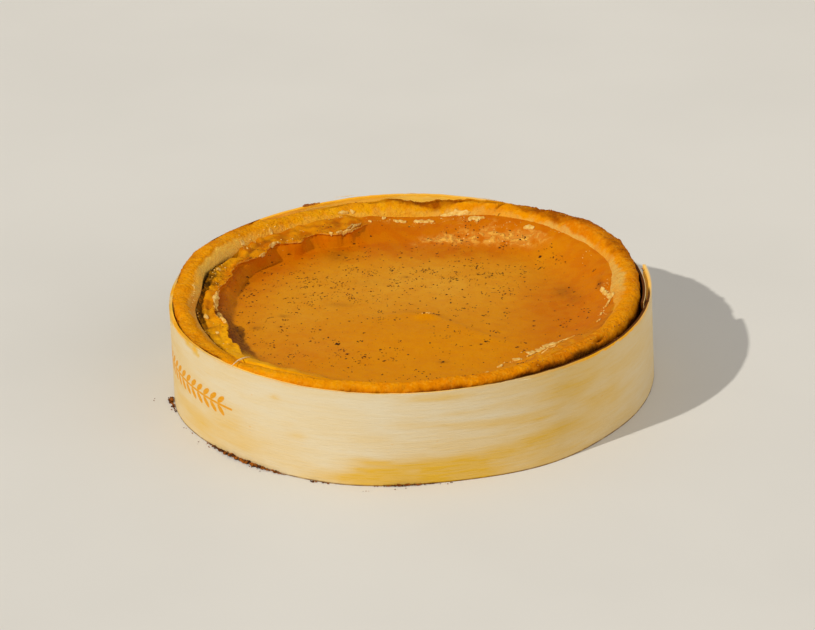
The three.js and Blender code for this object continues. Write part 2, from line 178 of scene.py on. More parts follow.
@dataclass(frozen=True)
class FlanForm:
    """Outlines and heights that the flan's pieces share, the same ones that its solids have."""

    clearance: float = 0.3
    band_height: float = 45.0
    band_thickness: float = 1.5
    foot_radius: float = 118.0
    band_waver: float = 0.35
    band_outline: Curve = Curve(114.1, ((1, 0.97, -165), (2, 2.85, 46), (3, 1.48, -13), (4, 0.36, 16)))
    band_flare: Curve = Curve(2.3, (), ((-56, 24, 1.9), (-104, 20, 1.8), (-140, 24, -2.0), (176, 45, -5.2)))
    shell_air: Curve = Curve(0.45, (), ((4, 60, 2.9),))
    shell_air_at_top: Curve = Curve(0.0, (), ((-40, 38, 2.0), (92, 40, 0.8)))
    shell_floor: float = 4.0
    crest_height: Curve = Curve(
        47.2,
        ((17, 0.25, 3), (29, 0.18, 7)),
        ((30, 42, 3.6), (86, 11, -2.3), (112, 44, -3.6), (152, 26, 1.6), (-64, 46, 3.0), (-140, 26, -2.4)),
    )
    rim_width: Curve = Curve(10.4, ((13, 0.3, 11),), ((162, 35, -2.0), (95, 45, 2.2), (-145, 40, 1.2)))
    overhang: Curve = Curve(0.0, (), ((34, 30, 4.2), (157, 28, 2.6)))
    overhang_lift: float = 0.8
    overhang_start: float = 0.12
    crest_inset: float = 4.4
    shoulder_depth: float = 5.5
    wall_lean: float = 5.0
    edge_height: Curve = Curve(
        43.0, (), ((20, 60, 1.6), (88, 26, -4.0), (125, 45, -1.8), (170, 40, -1.0), (-150, 40, -1.5))
    )
    crevice_floor: float = 32.0
    crevice_width: Curve = Curve(0.0, (), ((175, 32, 2.3), (-152, 24, 0.9)))
    tear_start: float = 100.0
    tear_end: float = 222.0
    tear_fade: float = 8.0
    tear_radii: tuple[float, float] = (83.0, 97.0)
    tear_rags: Curve = Curve(
        0.0,
        (),
        (
            (104, 7, 4), (114, 9, -3), (123, 8, 1.8), (131, 8, -2.4), (138, 8, 3.4), (147, 9, -1.8),
            (156, 9, 1.6), (168, 9, -1.2), (190, 8, 1.4), (199, 8, -2.6), (214, 9, 1.6),
        ),
    )
    lip_rise: float = 0.5
    lip_inset: Curve = Curve(3.0, (), ((86, 36, 5.5),))
    ledge_fall: float = 0.9
    ledge_lumps: Curve = Curve(0.0, ((31, 0.45, 4),))
    bowl_radius: Curve = Curve(80.0, (), ((10, 60, -10), (82, 40, -6), (152, 40, 6), (-150, 44, 6)))
    wall_share: Curve = Curve(0.0, (), ((165, 95, 1), (85, 45, 0.6)))
    dish_rounding: float = 2.1
    bowl_floor: float = 34.6
    mound: tuple[float, float, float, float, float] = (10.0, -30.0, 62.0, 34.0, 1.9)

    def band_outer(self, angle: Array, z: Array) -> Array:
        """Radius of the band's outer face."""
        return self.band_outline.at(angle) + self.band_flare.at(angle) * (1 - z / self.band_height)

    def shell_outer(self, angle: Array, z: Array) -> Array:
        """Radius of the pastry's outer side, behind the band."""
        level = np.minimum(z, self.band_height)
        rise = level / self.band_height
        air = self.shell_air.at(angle) + self.shell_air_at_top.at(angle) * rise * rise
        return self.band_outer(angle, level) - self.band_thickness - air

    def rim_inner(self, angle: Array) -> Array:
        """Radius where the pastry's inner slope ends."""
        return self.shell_outer(angle, self.band_height) - self.rim_width.at(angle)

    def shell_wall(self, angle: Array, z: Array) -> Array:
        """Radius of the pastry's inner wall at a height."""
        drop = 1 - np.minimum(z / self.edge_height.at(angle), 1)
        return self.rim_inner(angle) - self.wall_lean * drop

    def torn_share(self, angle: Array) -> Array:
        """Share of the torn skin at an angle, 0 to 1."""
        turn = np.asarray(angle) % 360.0
        opening = ease(turn, self.tear_start, self.tear_start + self.tear_fade)
        return opening * fall(turn, self.tear_end - self.tear_fade, self.tear_end)

    def lip_radius(self, angle: Array) -> Array:
        """Radius where the skin starts to fall into the bowl."""
        turn = np.asarray(angle) % 360.0
        along = unit((turn - self.tear_start) / (self.tear_end - self.tear_start))
        torn = blend(*self.tear_radii, along) + self.tear_rags.at(angle)
        whole = self.custard_edge(angle) - self.lip_inset.at(angle)
        return blend(whole, torn, self.torn_share(angle))

    def custard_edge(self, angle: Array) -> Array:
        """Radius of the custard's edge, beside the pastry."""
        return self.rim_inner(angle) - self.clearance - self.crevice_width.at(angle)

    def floor_height(self, angle: Array, radius: Array) -> Array:
        """Height of the bowl's floor with its low mound."""
        x = radius * np.cos(np.radians(angle))
        y = radius * np.sin(np.radians(angle))
        middle_x, middle_y, length, depth, height = self.mound
        across = ((x - middle_x) / length) ** 2 + ((y - middle_y) / depth) ** 2
        return self.bowl_floor + height * np.exp(-2 * across)

    def brim_height(self, angle: Array) -> Array:
        """Height of the lip round the bowl."""
        return self.edge_height.at(angle) - self.ledge_fall + self.lip_rise * self.torn_share(angle)

    def custard_top(self, angle: Array, radius: Array, lip: Array) -> Array:
        """Work out the height of the custard's top.

        Args:
            angle: Angles in degrees.
            radius: Distances from the middle.
            lip: Radius of the lip at each angle.

        Returns:
            Heights over the surface that the flan stands on.
        """
        foot = self.bowl_radius.at(angle)
        brim = self.brim_height(angle)
        fall = unit((radius - foot) / (lip - foot))
        wall = unit(self.wall_share.at(angle))
        shape = blend(fall**self.dish_rounding, ease(fall, 0, 1), wall)
        inside = blend(self.floor_height(angle, radius), brim, shape)
        out = (radius - lip) / (self.custard_edge(angle) - lip)
        lumps = self.torn_share(angle) * self.ledge_lumps.at(angle) * np.sin(np.pi * unit(out))
        outside = blend(brim, self.edge_height.at(angle), out) + lumps
        return np.where(radius <= lip, inside, outside)

    def crest(self, angle: Array) -> tuple[Array, Array]:
        """Radius and height of the rim's crest."""
        return self.shell_outer(angle, self.band_height) - self.crest_inset, self.crest_height.at(angle)


FORM = FlanForm()


def placed(points: Array) -> Array:
    """Take millimetres round the pastry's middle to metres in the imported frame."""
    return (np.asarray(points, dtype=float) + MIDDLE) * MM


def polar(radius: Array, angle: Array, height: Array) -> Array:
    """Points at radii, angles in degrees and heights."""
    turn = np.radians(angle)
    parts = np.broadcast_arrays(radius * np.cos(turn), radius * np.sin(turn), height)
    return np.stack(parts, axis=-1)


def mesh_of(name: str, points: Array, quads: Array, triangles: Array | None = None,
            masks: dict[str, Array] | None = None) -> Mesh:
    """Make a smooth-shaded mesh.

    Args:
        name: Name of the mesh.
        points: Corners in millimetres round the pastry's middle.
        quads: Indices of the four-sided faces.
        triangles: Indices of the three-sided faces.
        masks: Named numbers, one for each corner, that the finish reads.

    Returns:
        The mesh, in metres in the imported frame.
    """
    triangles = np.zeros((0, 3), dtype=np.int32) if triangles is None else np.asarray(triangles)
    quads = np.asarray(quads).reshape(-1, 4)
    mesh = bpy.data.meshes.new(name)
    mesh.vertices.add(len(points))
    mesh.vertices.foreach_set("co", placed(points).astype(np.float32).ravel())
    corners = np.concatenate([quads.ravel(), triangles.ravel()]).astype(np.int32)
    starts = np.concatenate([
        np.arange(len(quads)) * 4,
        4 * len(quads) + np.arange(len(triangles)) * 3,
    ]).astype(np.int32)
    mesh.loops.add(len(corners))
    mesh.loops.foreach_set("vertex_index", corners)
    mesh.polygons.add(len(starts))
    mesh.polygons.foreach_set("loop_start", starts)
    mesh.update(calc_edges=True)
    mesh.shade_smooth()
    for mask, values in (masks or {}).items():
        paint(mesh, mask, values)
    return mesh


def paint(mesh: Mesh, mask: str, values: Array) -> None:
    """Store a named number at every corner of a mesh."""
    layer = mesh.attributes.new(mask, "FLOAT", "POINT")
    layer.data.foreach_set("value", np.asarray(values, dtype=np.float32).ravel())


def wire_of(name: str, points: Array, edges: Sequence[tuple[int, int]] = ()) -> Mesh:
    """Make a mesh of bare points in millimetres round the pastry's middle, with any edges between them."""
    mesh = bpy.data.meshes.new(name)
    mesh.from_pydata([tuple(point) for point in placed(points)], list(edges), [])
    return mesh


def piece_of(name: str, mesh: Mesh, material: Material | None) -> Piece:
    """Put a mesh into the scene as a piece with one material."""
    if material:
        mesh.materials.clear()
        mesh.materials.append(material)
    piece = bpy.data.objects.new(name, mesh)
    bpy.context.collection.objects.link(piece)
    return piece


@dataclass
class TurnedSkin:
    """Closed skin round the upright axis: rings of points from a lower pole to an upper one."""

    angles: Array
    rings: list[Array] = field(default_factory=list)
    stations: list[float] = field(default_factory=list)

    def ring(self, station: float, radius: Array, height: Array) -> None:
        """Add a ring that has a number for where it lies along the profile."""
        self.rings.append(polar(radius, self.angles, height))
        self.stations.append(station)

    def run(self, stations: Array, start: tuple, end: tuple) -> None:
        """Add straight rings between two (radius, height) ends, the first one left out."""
        for share, station in zip(np.linspace(0, 1, len(stations) + 1)[1:], stations):
            self.ring(station, blend(start[0], end[0], share), blend(start[1], end[1], share))

    def grid(self) -> Array:
        """All points as rings by columns."""
        return np.stack(self.rings)

    @staticmethod
    def outward(points: Array) -> Array:
        """Unit directions that face out of the skin at each point of a grid."""
        round_it = np.roll(points, -1, axis=1) - np.roll(points, 1, axis=1)
        facing = np.cross(round_it, np.gradient(points, axis=0))
        return facing / np.maximum(np.linalg.norm(facing, axis=-1, keepdims=True), 1e-9)

    @staticmethod
    def mesh(name: str, points: Array, masks: dict[str, Array]) -> Mesh:
        """Close a grid of points with its two poles.

        Args:
            name: Name of the mesh.
            points: Grid of rings by columns.
            masks: Numbers for each point of the grid.

        Returns:
            The closed mesh.
        """
        rows, columns = points.shape[:2]
        here = np.arange(rows * columns).reshape(rows, columns)
        beside = np.roll(here, -1, axis=1)
        quads = np.stack([here[:-1], beside[:-1], beside[1:], here[1:]], axis=-1).reshape(-1, 4)
        low = rows * columns
        poles = [[0, 0, points[0, :, 2].mean()], [0, 0, points[-1, :, 2].mean()]]
        under = np.stack([np.full(columns, low), beside[0], here[0]], axis=-1)
        over = np.stack([np.full(columns, low + 1), here[-1], beside[-1]], axis=-1)
        corners = np.concatenate([points.reshape(-1, 3), poles])
        numbers = {
            mask: np.concatenate([grid.ravel(), [grid[0].mean(), grid[-1].mean()]])
            for mask, grid in masks.items()
        }
        return mesh_of(name, corners, quads, np.concatenate([under, over]), numbers)


class Graph:
    """Lays nodes into one node tree and links them."""

    def __init__(self, tree: NodeTree) -> None:
        """Work on a tree."""
        self.tree = tree

    def node(self, kind: str, inputs: dict | None = None, **settings: object) -> bpy.types.Node:
        """Add a node.

        Args:
            kind: Blender's name of the node type.
            inputs: Values or sockets to put in, by input number or name.
            settings: Properties of the node.

        Returns:
            The new node.
        """
        node = self.tree.nodes.new(kind)
        for name, value in settings.items():
            setattr(node, name, value)
        for slot, value in (inputs or {}).items():
            self.put(node.inputs[slot], value)
        return node

    def put(self, socket: Socket, value: object) -> None:
        """Link a socket to another one, or set its value."""
        if isinstance(value, Socket):
            self.tree.links.new(value, socket)
        elif isinstance(value, tuple) and socket.type == "RGBA":
            socket.default_value = (*value, 1.0)
        else:
            socket.default_value = value

    def math(self, operation: str, first: object, second: object = 0.0) -> Socket:
        """Do sums on two numbers."""
        return self.node("ShaderNodeMath", {0: first, 1: second}, operation=operation).outputs[0]

    def times(self, first: object, second: object) -> Socket:
        """Multiply two numbers."""
        return self.math("MULTIPLY", first, second)

    def plus(self, first: object, second: object) -> Socket:
        """Add two numbers."""
        return self.math("ADD", first, second)

    def less(self, first: object, second: object) -> Socket:
        """Take the second number from the first."""
        return self.math("SUBTRACT", first, second)

    def over(self, first: object, second: object) -> Socket:
        """Divide the first number by the second."""
        return self.math("DIVIDE", first, second)

    def parts(self, vector: Socket) -> Sequence[Socket]:
        """Take a vector apart into x, y and z."""
        return self.node("ShaderNodeSeparateXYZ", {0: vector}).outputs

    def joined(self, x: object, y: object, z: object) -> Socket:
        """Put a vector together."""
        return self.node("ShaderNodeCombineXYZ", {0: x, 1: y, 2: z}).outputs[0]

    def stretched(self, vector: object, by: object) -> Socket:
        """Multiply a vector by a number."""
        return self.node("ShaderNodeVectorMath", {0: vector, 3: by}, operation="SCALE").outputs[0]

    def vector(self, operation: str, first: object, second: object) -> Socket:
        """Do sums on two vectors."""
        node = self.node("ShaderNodeVectorMath", {0: first, 1: second}, operation=operation)
        return node.outputs["Value" if operation in ("LENGTH", "DOT_PRODUCT") else "Vector"]

    def ranged(self, value: object, low: float, high: float, start: float = 0.0,
               end: float = 1.0) -> Socket:
        """Take a range of a number smoothly to another one."""
        inputs = {0: value, 1: low, 2: high, 3: start, 4: end}
        return self.node("ShaderNodeMapRange", inputs, interpolation_type="SMOOTHSTEP").outputs[0]

    def scaled(self, share: object, start: float, end: float) -> Socket:
        """Take a share from 0 to 1 smoothly to another range."""
        return self.ranged(share, 0.0, 1.0, start, end)

    def mix(self, share: object, first: object, second: object, kind: str = "MIX") -> Socket:
        """Mix two colours by a share."""
        inputs = {0: share, 6: first, 7: second}
        return self.node("ShaderNodeMix", inputs, data_type="RGBA", blend_type=kind).outputs[2]

    def mask(self, name: str) -> Socket:
        """Read a number that was painted on the piece."""
        return self.node("ShaderNodeAttribute", attribute_name=name).outputs["Fac"]

    def masked(self, name: str, by: object) -> Socket:
        """Multiply a number that was painted on the piece."""
        return self.times(self.mask(name), by)

    def use(self, group: NodeTree, inputs: dict) -> Socket:
        """Place a shared group and give its first output."""
        node = self.node("ShaderNodeGroup", node_tree=group)
        for name, value in inputs.items():
            self.put(node.inputs[name], value)
        return node.outputs[0]


class Pattern(Enum):
    """Effects over a surface that several finishes share."""

    BLOTCHES = "blotches"
    GRAIN = "grain"
    DOTS = "dots"


class PatternBook:
    """Builds each shared effect once, as a shader node group."""

    def __init__(self) -> None:
        """Start with no group built."""
        self.groups: dict[Pattern, NodeTree] = {}

    def get(self, pattern: Pattern) -> NodeTree:
        """Give the group of an effect, built when it is first asked for."""
        if pattern not in self.groups:
            makers = {
                Pattern.BLOTCHES: self.blotches,
                Pattern.GRAIN: self.grain,
                Pattern.DOTS: self.dots,
            }
            self.groups[pattern] = makers[pattern]()
        return self.groups[pattern]

    @staticmethod
    def start(pattern: Pattern, numbers: dict[str, float], output: str) -> tuple[Graph, dict, bpy.types.Node]:
        """Open a group with a place, some numbers and one output.

        Args:
            pattern: Effect that the group is for.
            numbers: Names and first values of its number inputs.
            output: Name of its output.

        Returns:
            The graph, its input sockets by name, and its output node.
        """
        tree = bpy.data.node_groups.new(pattern.value, "ShaderNodeTree")
        tree.interface.new_socket("Place", in_out="INPUT", socket_type="NodeSocketVector")
        for name, value in numbers.items():
            socket = tree.interface.new_socket(name, in_out="INPUT", socket_type="NodeSocketFloat")
            socket.default_value = value
        tree.interface.new_socket(output, in_out="OUTPUT", socket_type="NodeSocketFloat")
        graph = Graph(tree)
        source = graph.node("NodeGroupInput")
        sockets = {socket.name: socket for socket in source.outputs if socket.name}
        return graph, sockets, graph.node("NodeGroupOutput")

    def blotches(self) -> NodeTree:
        """Soft cloudy patches of one size, as a mask from 0 to 1."""
        numbers = {"Size": 0.01, "Low": 0.4, "High": 0.6, "Detail": 3.0}
        graph, given, out = self.start(Pattern.BLOTCHES, numbers, "Mask")
        scale = graph.over(1.0, given["Size"])
        noise = graph.node("ShaderNodeTexNoise", {"Vector": given["Place"], "Scale": scale})
        graph.put(noise.inputs["Detail"], given["Detail"])
        graph.put(out.inputs[0], graph.ranged(noise.outputs[0], given["Low"], given["High"]))
        return graph.tree

    def grain(self) -> NodeTree:
        """Fine grainy relief of two sizes, as a height from 0 to 1."""
        graph, given, out = self.start(Pattern.GRAIN, {"Size": 0.001, "Crumb": 0.4}, "Height")
        scale = graph.over(1.0, given["Size"])
        soft = graph.node("ShaderNodeTexNoise", {"Vector": given["Place"], "Scale": scale, "Detail": 4.0})
        cells = graph.node("ShaderNodeTexVoronoi", {"Vector": given["Place"], "Scale": scale})
        crumb = graph.times(cells.outputs["Distance"], given["Crumb"])
        graph.put(out.inputs[0], graph.less(soft.outputs[0], crumb))
        return graph.tree

    def dots(self) -> NodeTree:
        """Round dots of one size, of which a share is left out, as a mask from 0 to 1."""
        numbers = {"Size": 0.002, "Radius": 0.35, "Left Out": 0.5}
        graph, given, out = self.start(Pattern.DOTS, numbers, "Mask")
        scale = graph.over(1.0, given["Size"])
        cells = graph.node("ShaderNodeTexVoronoi", {"Vector": given["Place"], "Scale": scale})
        inside = graph.less(given["Radius"], cells.outputs["Distance"])
        dot = graph.ranged(inside, 0.0, 0.12)
        pick = graph.node("ShaderNodeSeparateColor", {0: cells.outputs["Color"]}).outputs[0]
        kept = graph.math("GREATER_THAN", pick, given["Left Out"])
        graph.put(out.inputs[0], graph.times(dot, kept))
        return graph.tree


BOOK = PatternBook()


class Dressing(Graph):
    """A material being made: its nodes and its shader."""

    def __init__(self, name: str) -> None:
        """Start a material with an empty shader."""
        self.material = bpy.data.materials.new(name)
        self.material.use_nodes = True
        super().__init__(self.material.node_tree)
        self.shader = self.tree.nodes["Principled BSDF"]
        self.place = self.node("ShaderNodeTexCoord").outputs["Object"]
        self.colour: Socket | Colour = BLACK

    def set(self, **numbers: object) -> None:
        """Set the shader's own sockets, with an underscore for each space in a name."""
        for name, value in numbers.items():
            self.put(self.shader.inputs[name.replace("_", " ")], value)

    def pattern(self, pattern: Pattern, place: object = None, **inputs: object) -> Socket:
        """Place a shared effect, on Object coordinates unless another place is given."""
        named = {name.replace("_", " "): value for name, value in inputs.items()}
        named["Place"] = self.place if place is None else place
        return self.use(BOOK.get(pattern), named)

    def patches(self, size: float, low: float, high: float, detail: float = 3.0) -> Socket:
        """Place soft patches of a size in metres."""
        return self.pattern(Pattern.BLOTCHES, Size=size, Low=low, High=high, Detail=detail)

    def grain(self, size: float, crumb: float) -> Socket:
        """Place grainy relief of a size in metres."""
        return self.pattern(Pattern.GRAIN, Size=size, Crumb=crumb)

    def coat(self, share: object, colour: object) -> None:
        """Lay a colour over the ones that are there already."""
        self.colour = self.mix(share, self.colour, colour)

    def bump(self, height: object, distance: float, below: object = None) -> Socket:
        """Turn a height from 0 to 1 into a normal, over another normal if one is given."""
        inputs = {"Height": height, "Distance": distance}
        if below is not None:
            inputs["Normal"] = below
        return self.node("ShaderNodeBump", inputs).outputs[0]


@dataclass(frozen=True)
class PastryFinish:
    """Baked shortcrust: golden, paler on its inner slope and browned at its outer edge, with a brighter straw
    painted as light on the shaded inner slope at the left and painted shade in the crevice.
    """

    golden: Colour = (0.77, 0.285, 0.001)
    amber: Colour = (0.62, 0.162, 0.0005)
    yellow: Colour = (0.78, 0.355, 0.003)
    butter: Colour = (0.8, 0.42, 0.03)
    pale: Colour = (0.66, 0.42, 0.095)
    # Straw: a brighter copy of the pale dough, painted light for the inner slope that lies in shade
    straw: Colour = (0.98, 0.64, 0.1)
    brown: Colour = (0.33, 0.078, 0.0008)
    toast: Colour = (0.22, 0.048, 0.001)
    dark: Colour = (0.045, 0.011, 0.001)
    sheen: Colour = (1.0, 0.6, 0.05)
    roughness: float = 0.68

    def material(self) -> Material:
        """Make the material."""
        d = Dressing("baked_pastry")
        wide = d.patches(0.012, 0.34, 0.66)
        dapple = d.patches(0.0046, 0.38, 0.68)
        fine = d.patches(0.0016, 0.42, 0.66)
        tiny = d.patches(0.0007, 0.4, 0.68, 2.0)
        d.colour = d.mix(d.times(wide, 0.35), self.golden, self.amber)
        d.coat(d.masked("yellowed", 0.85), self.yellow)
        d.coat(d.masked("ambered", 0.9), self.amber)
        d.coat(d.times(dapple, 0.28), self.amber)
        d.coat(d.times(fine, d.scaled(dapple, 0.34, 0.08)), self.butter)
        # Painted light: the shaded inner slope at the left gets the brighter straw
        straw = d.masked("shaded", d.scaled(fine, 0.7, 1.0))
        d.coat(straw, self.straw)
        streaks = d.times(d.scaled(dapple, 1.0, 0.72), d.scaled(fine, 0.75, 1.0))
        d.coat(d.masked("pale", streaks), self.pale)
        cracks = d.times(d.times(fine, tiny), 0.4)
        d.coat(cracks, self.amber)
        brown = d.masked("browned", d.scaled(dapple, 0.8, 1.15))
        d.coat(d.math("MINIMUM", brown, 1.0), self.brown)
        toast = d.times(d.ranged(d.mask("browned"), 0.4, 1.0), d.times(dapple, tiny))
        d.coat(d.times(toast, 0.75), self.toast)
        # Dark of the burnt underside, the folds and the crack, with painted shade in the crevice and along
        # the line to the band
        dark = d.masked("scorched", d.scaled(tiny, 1.0, 0.75))
        d.coat(dark, self.dark)
        d.set(Base_Color=d.colour, Roughness=self.roughness)
        d.set(Specular_IOR_Level=0.02, Specular_Tint=self.sheen)
        grain = d.bump(d.grain(0.0036, 0.5), 0.0008)
        d.set(Normal=d.bump(d.grain(0.0013, 0.5), 0.0006, grain))
        return d.material


@dataclass(frozen=True)
class CustardFinish:
    """Baked custard skin: amber, beige over the smooth middle, which is partly a sheen painted into the
    colour, with a soft sheen.
    """

    amber: Colour = (0.63, 0.229, 0.0008)
    beige: Colour = (0.665, 0.303, 0.0195)
    deep: Colour = (0.52, 0.118, 0.0002)
    ledge: Colour = (0.66, 0.232, 0.002)
    ledge_deep: Colour = (0.47, 0.1, 0.0004)
    yellow: Colour = (0.83, 0.385, 0.004)
    olive: Colour = (0.1, 0.04, 0.003)
    lip: Colour = (0.84, 0.5, 0.11)
    froth: Colour = (0.84, 0.46, 0.07)
    # Dark brown of the shore beside the crust, partly scorch and partly painted shade
    scorch: Colour = (0.17, 0.045, 0.002)
    # Brown of the smudges, also laid on as painted shade in the ledge's creases and as the lip's painted
    # shadow
    smudge: Colour = (0.15, 0.047, 0.005)
    glint: Colour = (0.95, 0.72, 0.32)
    sheen: Colour = (1.0, 0.62, 0.03)
    roughness: float = 0.42

    def material(self) -> Material:
        """Make the material."""
        d = Dressing("custard_skin")
        wide = d.patches(0.022, 0.36, 0.64)
        soft = d.patches(0.006, 0.4, 0.62)
        fine = d.patches(0.0016, 0.42, 0.66, 2.0)
        # Beige film over the middle: partly a painted sheen reflecting the pale surroundings, less of it in
        # front of the crease
        film_sheen = d.masked("filmed", d.scaled(wide, 0.65, 1.0))
        d.colour = d.mix(film_sheen, self.amber, self.beige)
        # Deeper colour of the walls and edges, darker under the torn lip as painted shade
        deep = d.masked("deepened", d.scaled(soft, 0.8, 1.0))
        d.coat(deep, self.deep)
        d.coat(d.times(soft, 0.14), self.deep)
        d.coat(d.times(fine, 0.1), self.deep)
        foam = d.patches(0.0027, 0.44, 0.6)
        patchy = d.patches(0.006, 0.38, 0.56)
        bubbles = d.pattern(Pattern.DOTS, Size=0.0021, Radius=0.22, Left_Out=0.78)
        hollow = d.masked("frothed", d.scaled(patchy, 0.3, 0.0))
        d.coat(hollow, self.deep)
        froth = d.times(d.masked("frothed", foam), d.scaled(patchy, 0.25, 1.0))
        d.coat(d.masked("frothed", d.times(patchy, 0.35)), self.froth)
        d.coat(d.times(froth, 0.8), self.froth)
        d.coat(d.masked("frothed", bubbles), self.glint)
        ledge = d.mix(d.times(soft, 0.7), self.ledge, self.ledge_deep)
        d.coat(d.mask("ledge"), ledge)
        d.coat(d.masked("yellow", d.scaled(soft, 1.0, 0.7)), self.yellow)
        # Smudges, with painted shade in the ledge's creases and a painted shadow inside the torn lip
        smudge = d.masked("smudged", d.scaled(fine, 0.72, 1.0))
        d.coat(smudge, self.smudge)
        # Dark brown in the crevice, the groove and the hole as painted shade, and on dark lumps
        murk_and_shade = d.masked("murky", d.scaled(fine, 1.0, 0.6))
        d.coat(murk_and_shade, self.olive)
        crisp = d.masked("crisp", d.scaled(fine, 1.0, 0.75))
        d.coat(crisp, self.lip)
        # Shore beside the crust on the right, darkened partly as scorch and partly as painted shade
        shore = d.masked("shore", d.scaled(soft, 0.1, 1.0))
        d.coat(shore, self.scorch)
        d.set(Base_Color=d.colour)
        dry = d.math("MAXIMUM", d.mask("ledge"), d.mask("crisp"))
        rough = d.plus(d.times(dry, 0.2), self.roughness)
        d.set(Roughness=rough, Specular_IOR_Level=0.03, Specular_Tint=self.sheen)
        wet = d.masked("frothed", d.scaled(bubbles, 0.15, 0.55))
        d.set(Coat_Weight=wet, Coat_Roughness=0.12, Coat_Tint=self.sheen)
        skin = d.bump(d.grain(0.0035, 0.2), 0.00025)
        pitted = d.bump(d.grain(0.0011, 0.3), 0.0001, skin)
        crumbly = d.times(d.grain(0.0014, 0.6), d.mask("crumbled"))
        pitted = d.bump(crumbly, 0.001, pitted)
        d.set(Normal=d.bump(froth, 0.0005, pitted))
        return d.material


@dataclass(frozen=True)
class VeneerFinish:
    """Peeled poplar veneer: pale long grain, soaked with syrup in places, with a printed sprig, a painted
    glow on its inner face and a painted shadow line along its foot.
    """

    cream: Colour = (0.665, 0.575, 0.4)
    straw: Colour = (0.665, 0.485, 0.215)
    honey: Colour = (0.66, 0.385, 0.034)
    syrup: Colour = (0.86, 0.37, 0.002)
    # Bright yellow orange of the inner face, painted light as if shining through the veneer
    glazed: Colour = (1.0, 0.6, 0.06)
    rim: Colour = (0.88, 0.4, 0.006)
    # Dark brown of the browned inner face, also painted as a shadow line along the foot
    scorch: Colour = (0.1, 0.027, 0.002)
    ink: Colour = (0.68, 0.285, 0.006)
    sheen: Colour = (1.0, 0.85, 0.55)
    # Strength of the inner face's painted glow
    shining_through: float = 0.16
    sprig_along: float = 0.0
    sprig_height: float = 23.5
    sprig_half: float = 34.0
    kernel_pitch: float = 5.6
    kernel_tilt: float = 40.0
    # How far a kernel's middle lies off the stem, and its half length and half width
    kernel: tuple[float, float, float] = (2.7, 3.1, 1.3)
    stem_past: float = 4.0

    def spread(self, d: Dressing, along: float, up: float) -> Socket:
        """Place for a pattern whose marks are so many millimetres long and high."""
        return d.vector("MULTIPLY", self.strip(d), (1.0 / along, 1.0 / up, 0.0))

    def streaks(self, d: Dressing, along: float, up: float, low: float, high: float) -> Socket:
        """Patches so many millimetres long and high, along the strip."""
        return d.pattern(Pattern.BLOTCHES, self.spread(d, along, up), Size=1.0, Low=low, High=high)

    @staticmethod
    def strip(d: Dressing) -> Socket:
        """Place along and up the strip in millimetres."""
        return d.node("ShaderNodeAttribute", attribute_name="strip").outputs["Vector"]

    def sprig(self, d: Dressing) -> Socket:
        """Mask of a plain ear of grain: a stem with pairs of slanting kernels."""
        strip = d.parts(self.strip(d))
        along = d.less(strip[0], self.sprig_along)
        up = d.math("ABSOLUTE", d.less(strip[1], self.sprig_height))
        pitch = self.kernel_pitch
        off_stem, half_length, half_width = self.kernel
        cell = d.less(d.math("FLOORED_MODULO", along, pitch), 0.5 * pitch)
        high = d.less(up, off_stem)
        cosine, sine = math.cos(math.radians(self.kernel_tilt)), math.sin(math.radians(self.kernel_tilt))
        slant = d.plus(d.times(cell, cosine), d.times(high, sine))
        thick = d.less(d.times(high, cosine), d.times(cell, sine))
        slant = d.math("POWER", d.math("ABSOLUTE", d.over(slant, half_length)), 2.0)
        thick = d.math("POWER", d.math("ABSOLUTE", d.over(thick, half_width)), 2.0)
        kernel = d.ranged(d.plus(slant, thick), 0.8, 1.15, 1.0, 0.0)
        reach = d.math("ABSOLUTE", along)
        kernel = d.times(kernel, d.ranged(reach, self.sprig_half, self.sprig_half + 0.2, 1.0, 0.0))
        tip = self.sprig_half + self.stem_past
        stem = d.times(d.ranged(up, 0.4, 0.75, 1.0, 0.0), d.ranged(reach, tip, tip + 1.0, 1.0, 0.0))
        return d.math("MAXIMUM", kernel, stem)

    def material(self) -> Material:
        """Make the material."""
        d = Dressing("poplar_veneer")
        broad = self.streaks(d, 45, 7.0, 0.34, 0.66)
        bands = self.streaks(d, 16, 1.2, 0.4, 0.68)
        fibres = self.streaks(d, 4, 0.32, 0.4, 0.7)
        d.colour = d.mix(d.times(broad, 0.3), self.cream, self.straw)
        d.coat(d.times(bands, 0.12), self.straw)
        d.coat(d.times(fibres, 0.07), self.honey)
        honey = d.masked("honeyed", d.scaled(bands, 0.86, 1.0))
        d.coat(honey, self.honey)
        blemish = d.pattern(Pattern.DOTS, self.spread(d, 1.6, 1.0), Size=7.0, Radius=0.1, Left_Out=0.72)
        d.coat(d.times(blemish, 0.55), self.ink)
        print_wear = self.streaks(d, 2, 0.8, 0.3, 0.6)
        ink = d.times(self.sprig(d), d.scaled(print_wear, 0.86, 1.0))
        ink = d.times(ink, d.mask("printed"))
        d.coat(ink, self.ink)
        strip = d.parts(self.strip(d))
        seep = self.streaks(d, 5, 1.6, 0.25, 0.6)
        reach = d.plus(strip[2], d.scaled(seep, 0.8, 0.0))
        edge = d.masked("edged", d.ranged(reach, 0.9, 1.6, 1.0, 0.0))
        syrup = d.masked("syruped", d.scaled(fibres, 0.8, 1.0))
        # Inner face painted bright, as light shining through the veneer
        glazed = d.masked("glazed", d.scaled(bands, 1.0, 0.75))
        d.coat(glazed, self.glazed)
        d.coat(syrup, self.syrup)
        d.coat(edge, self.rim)
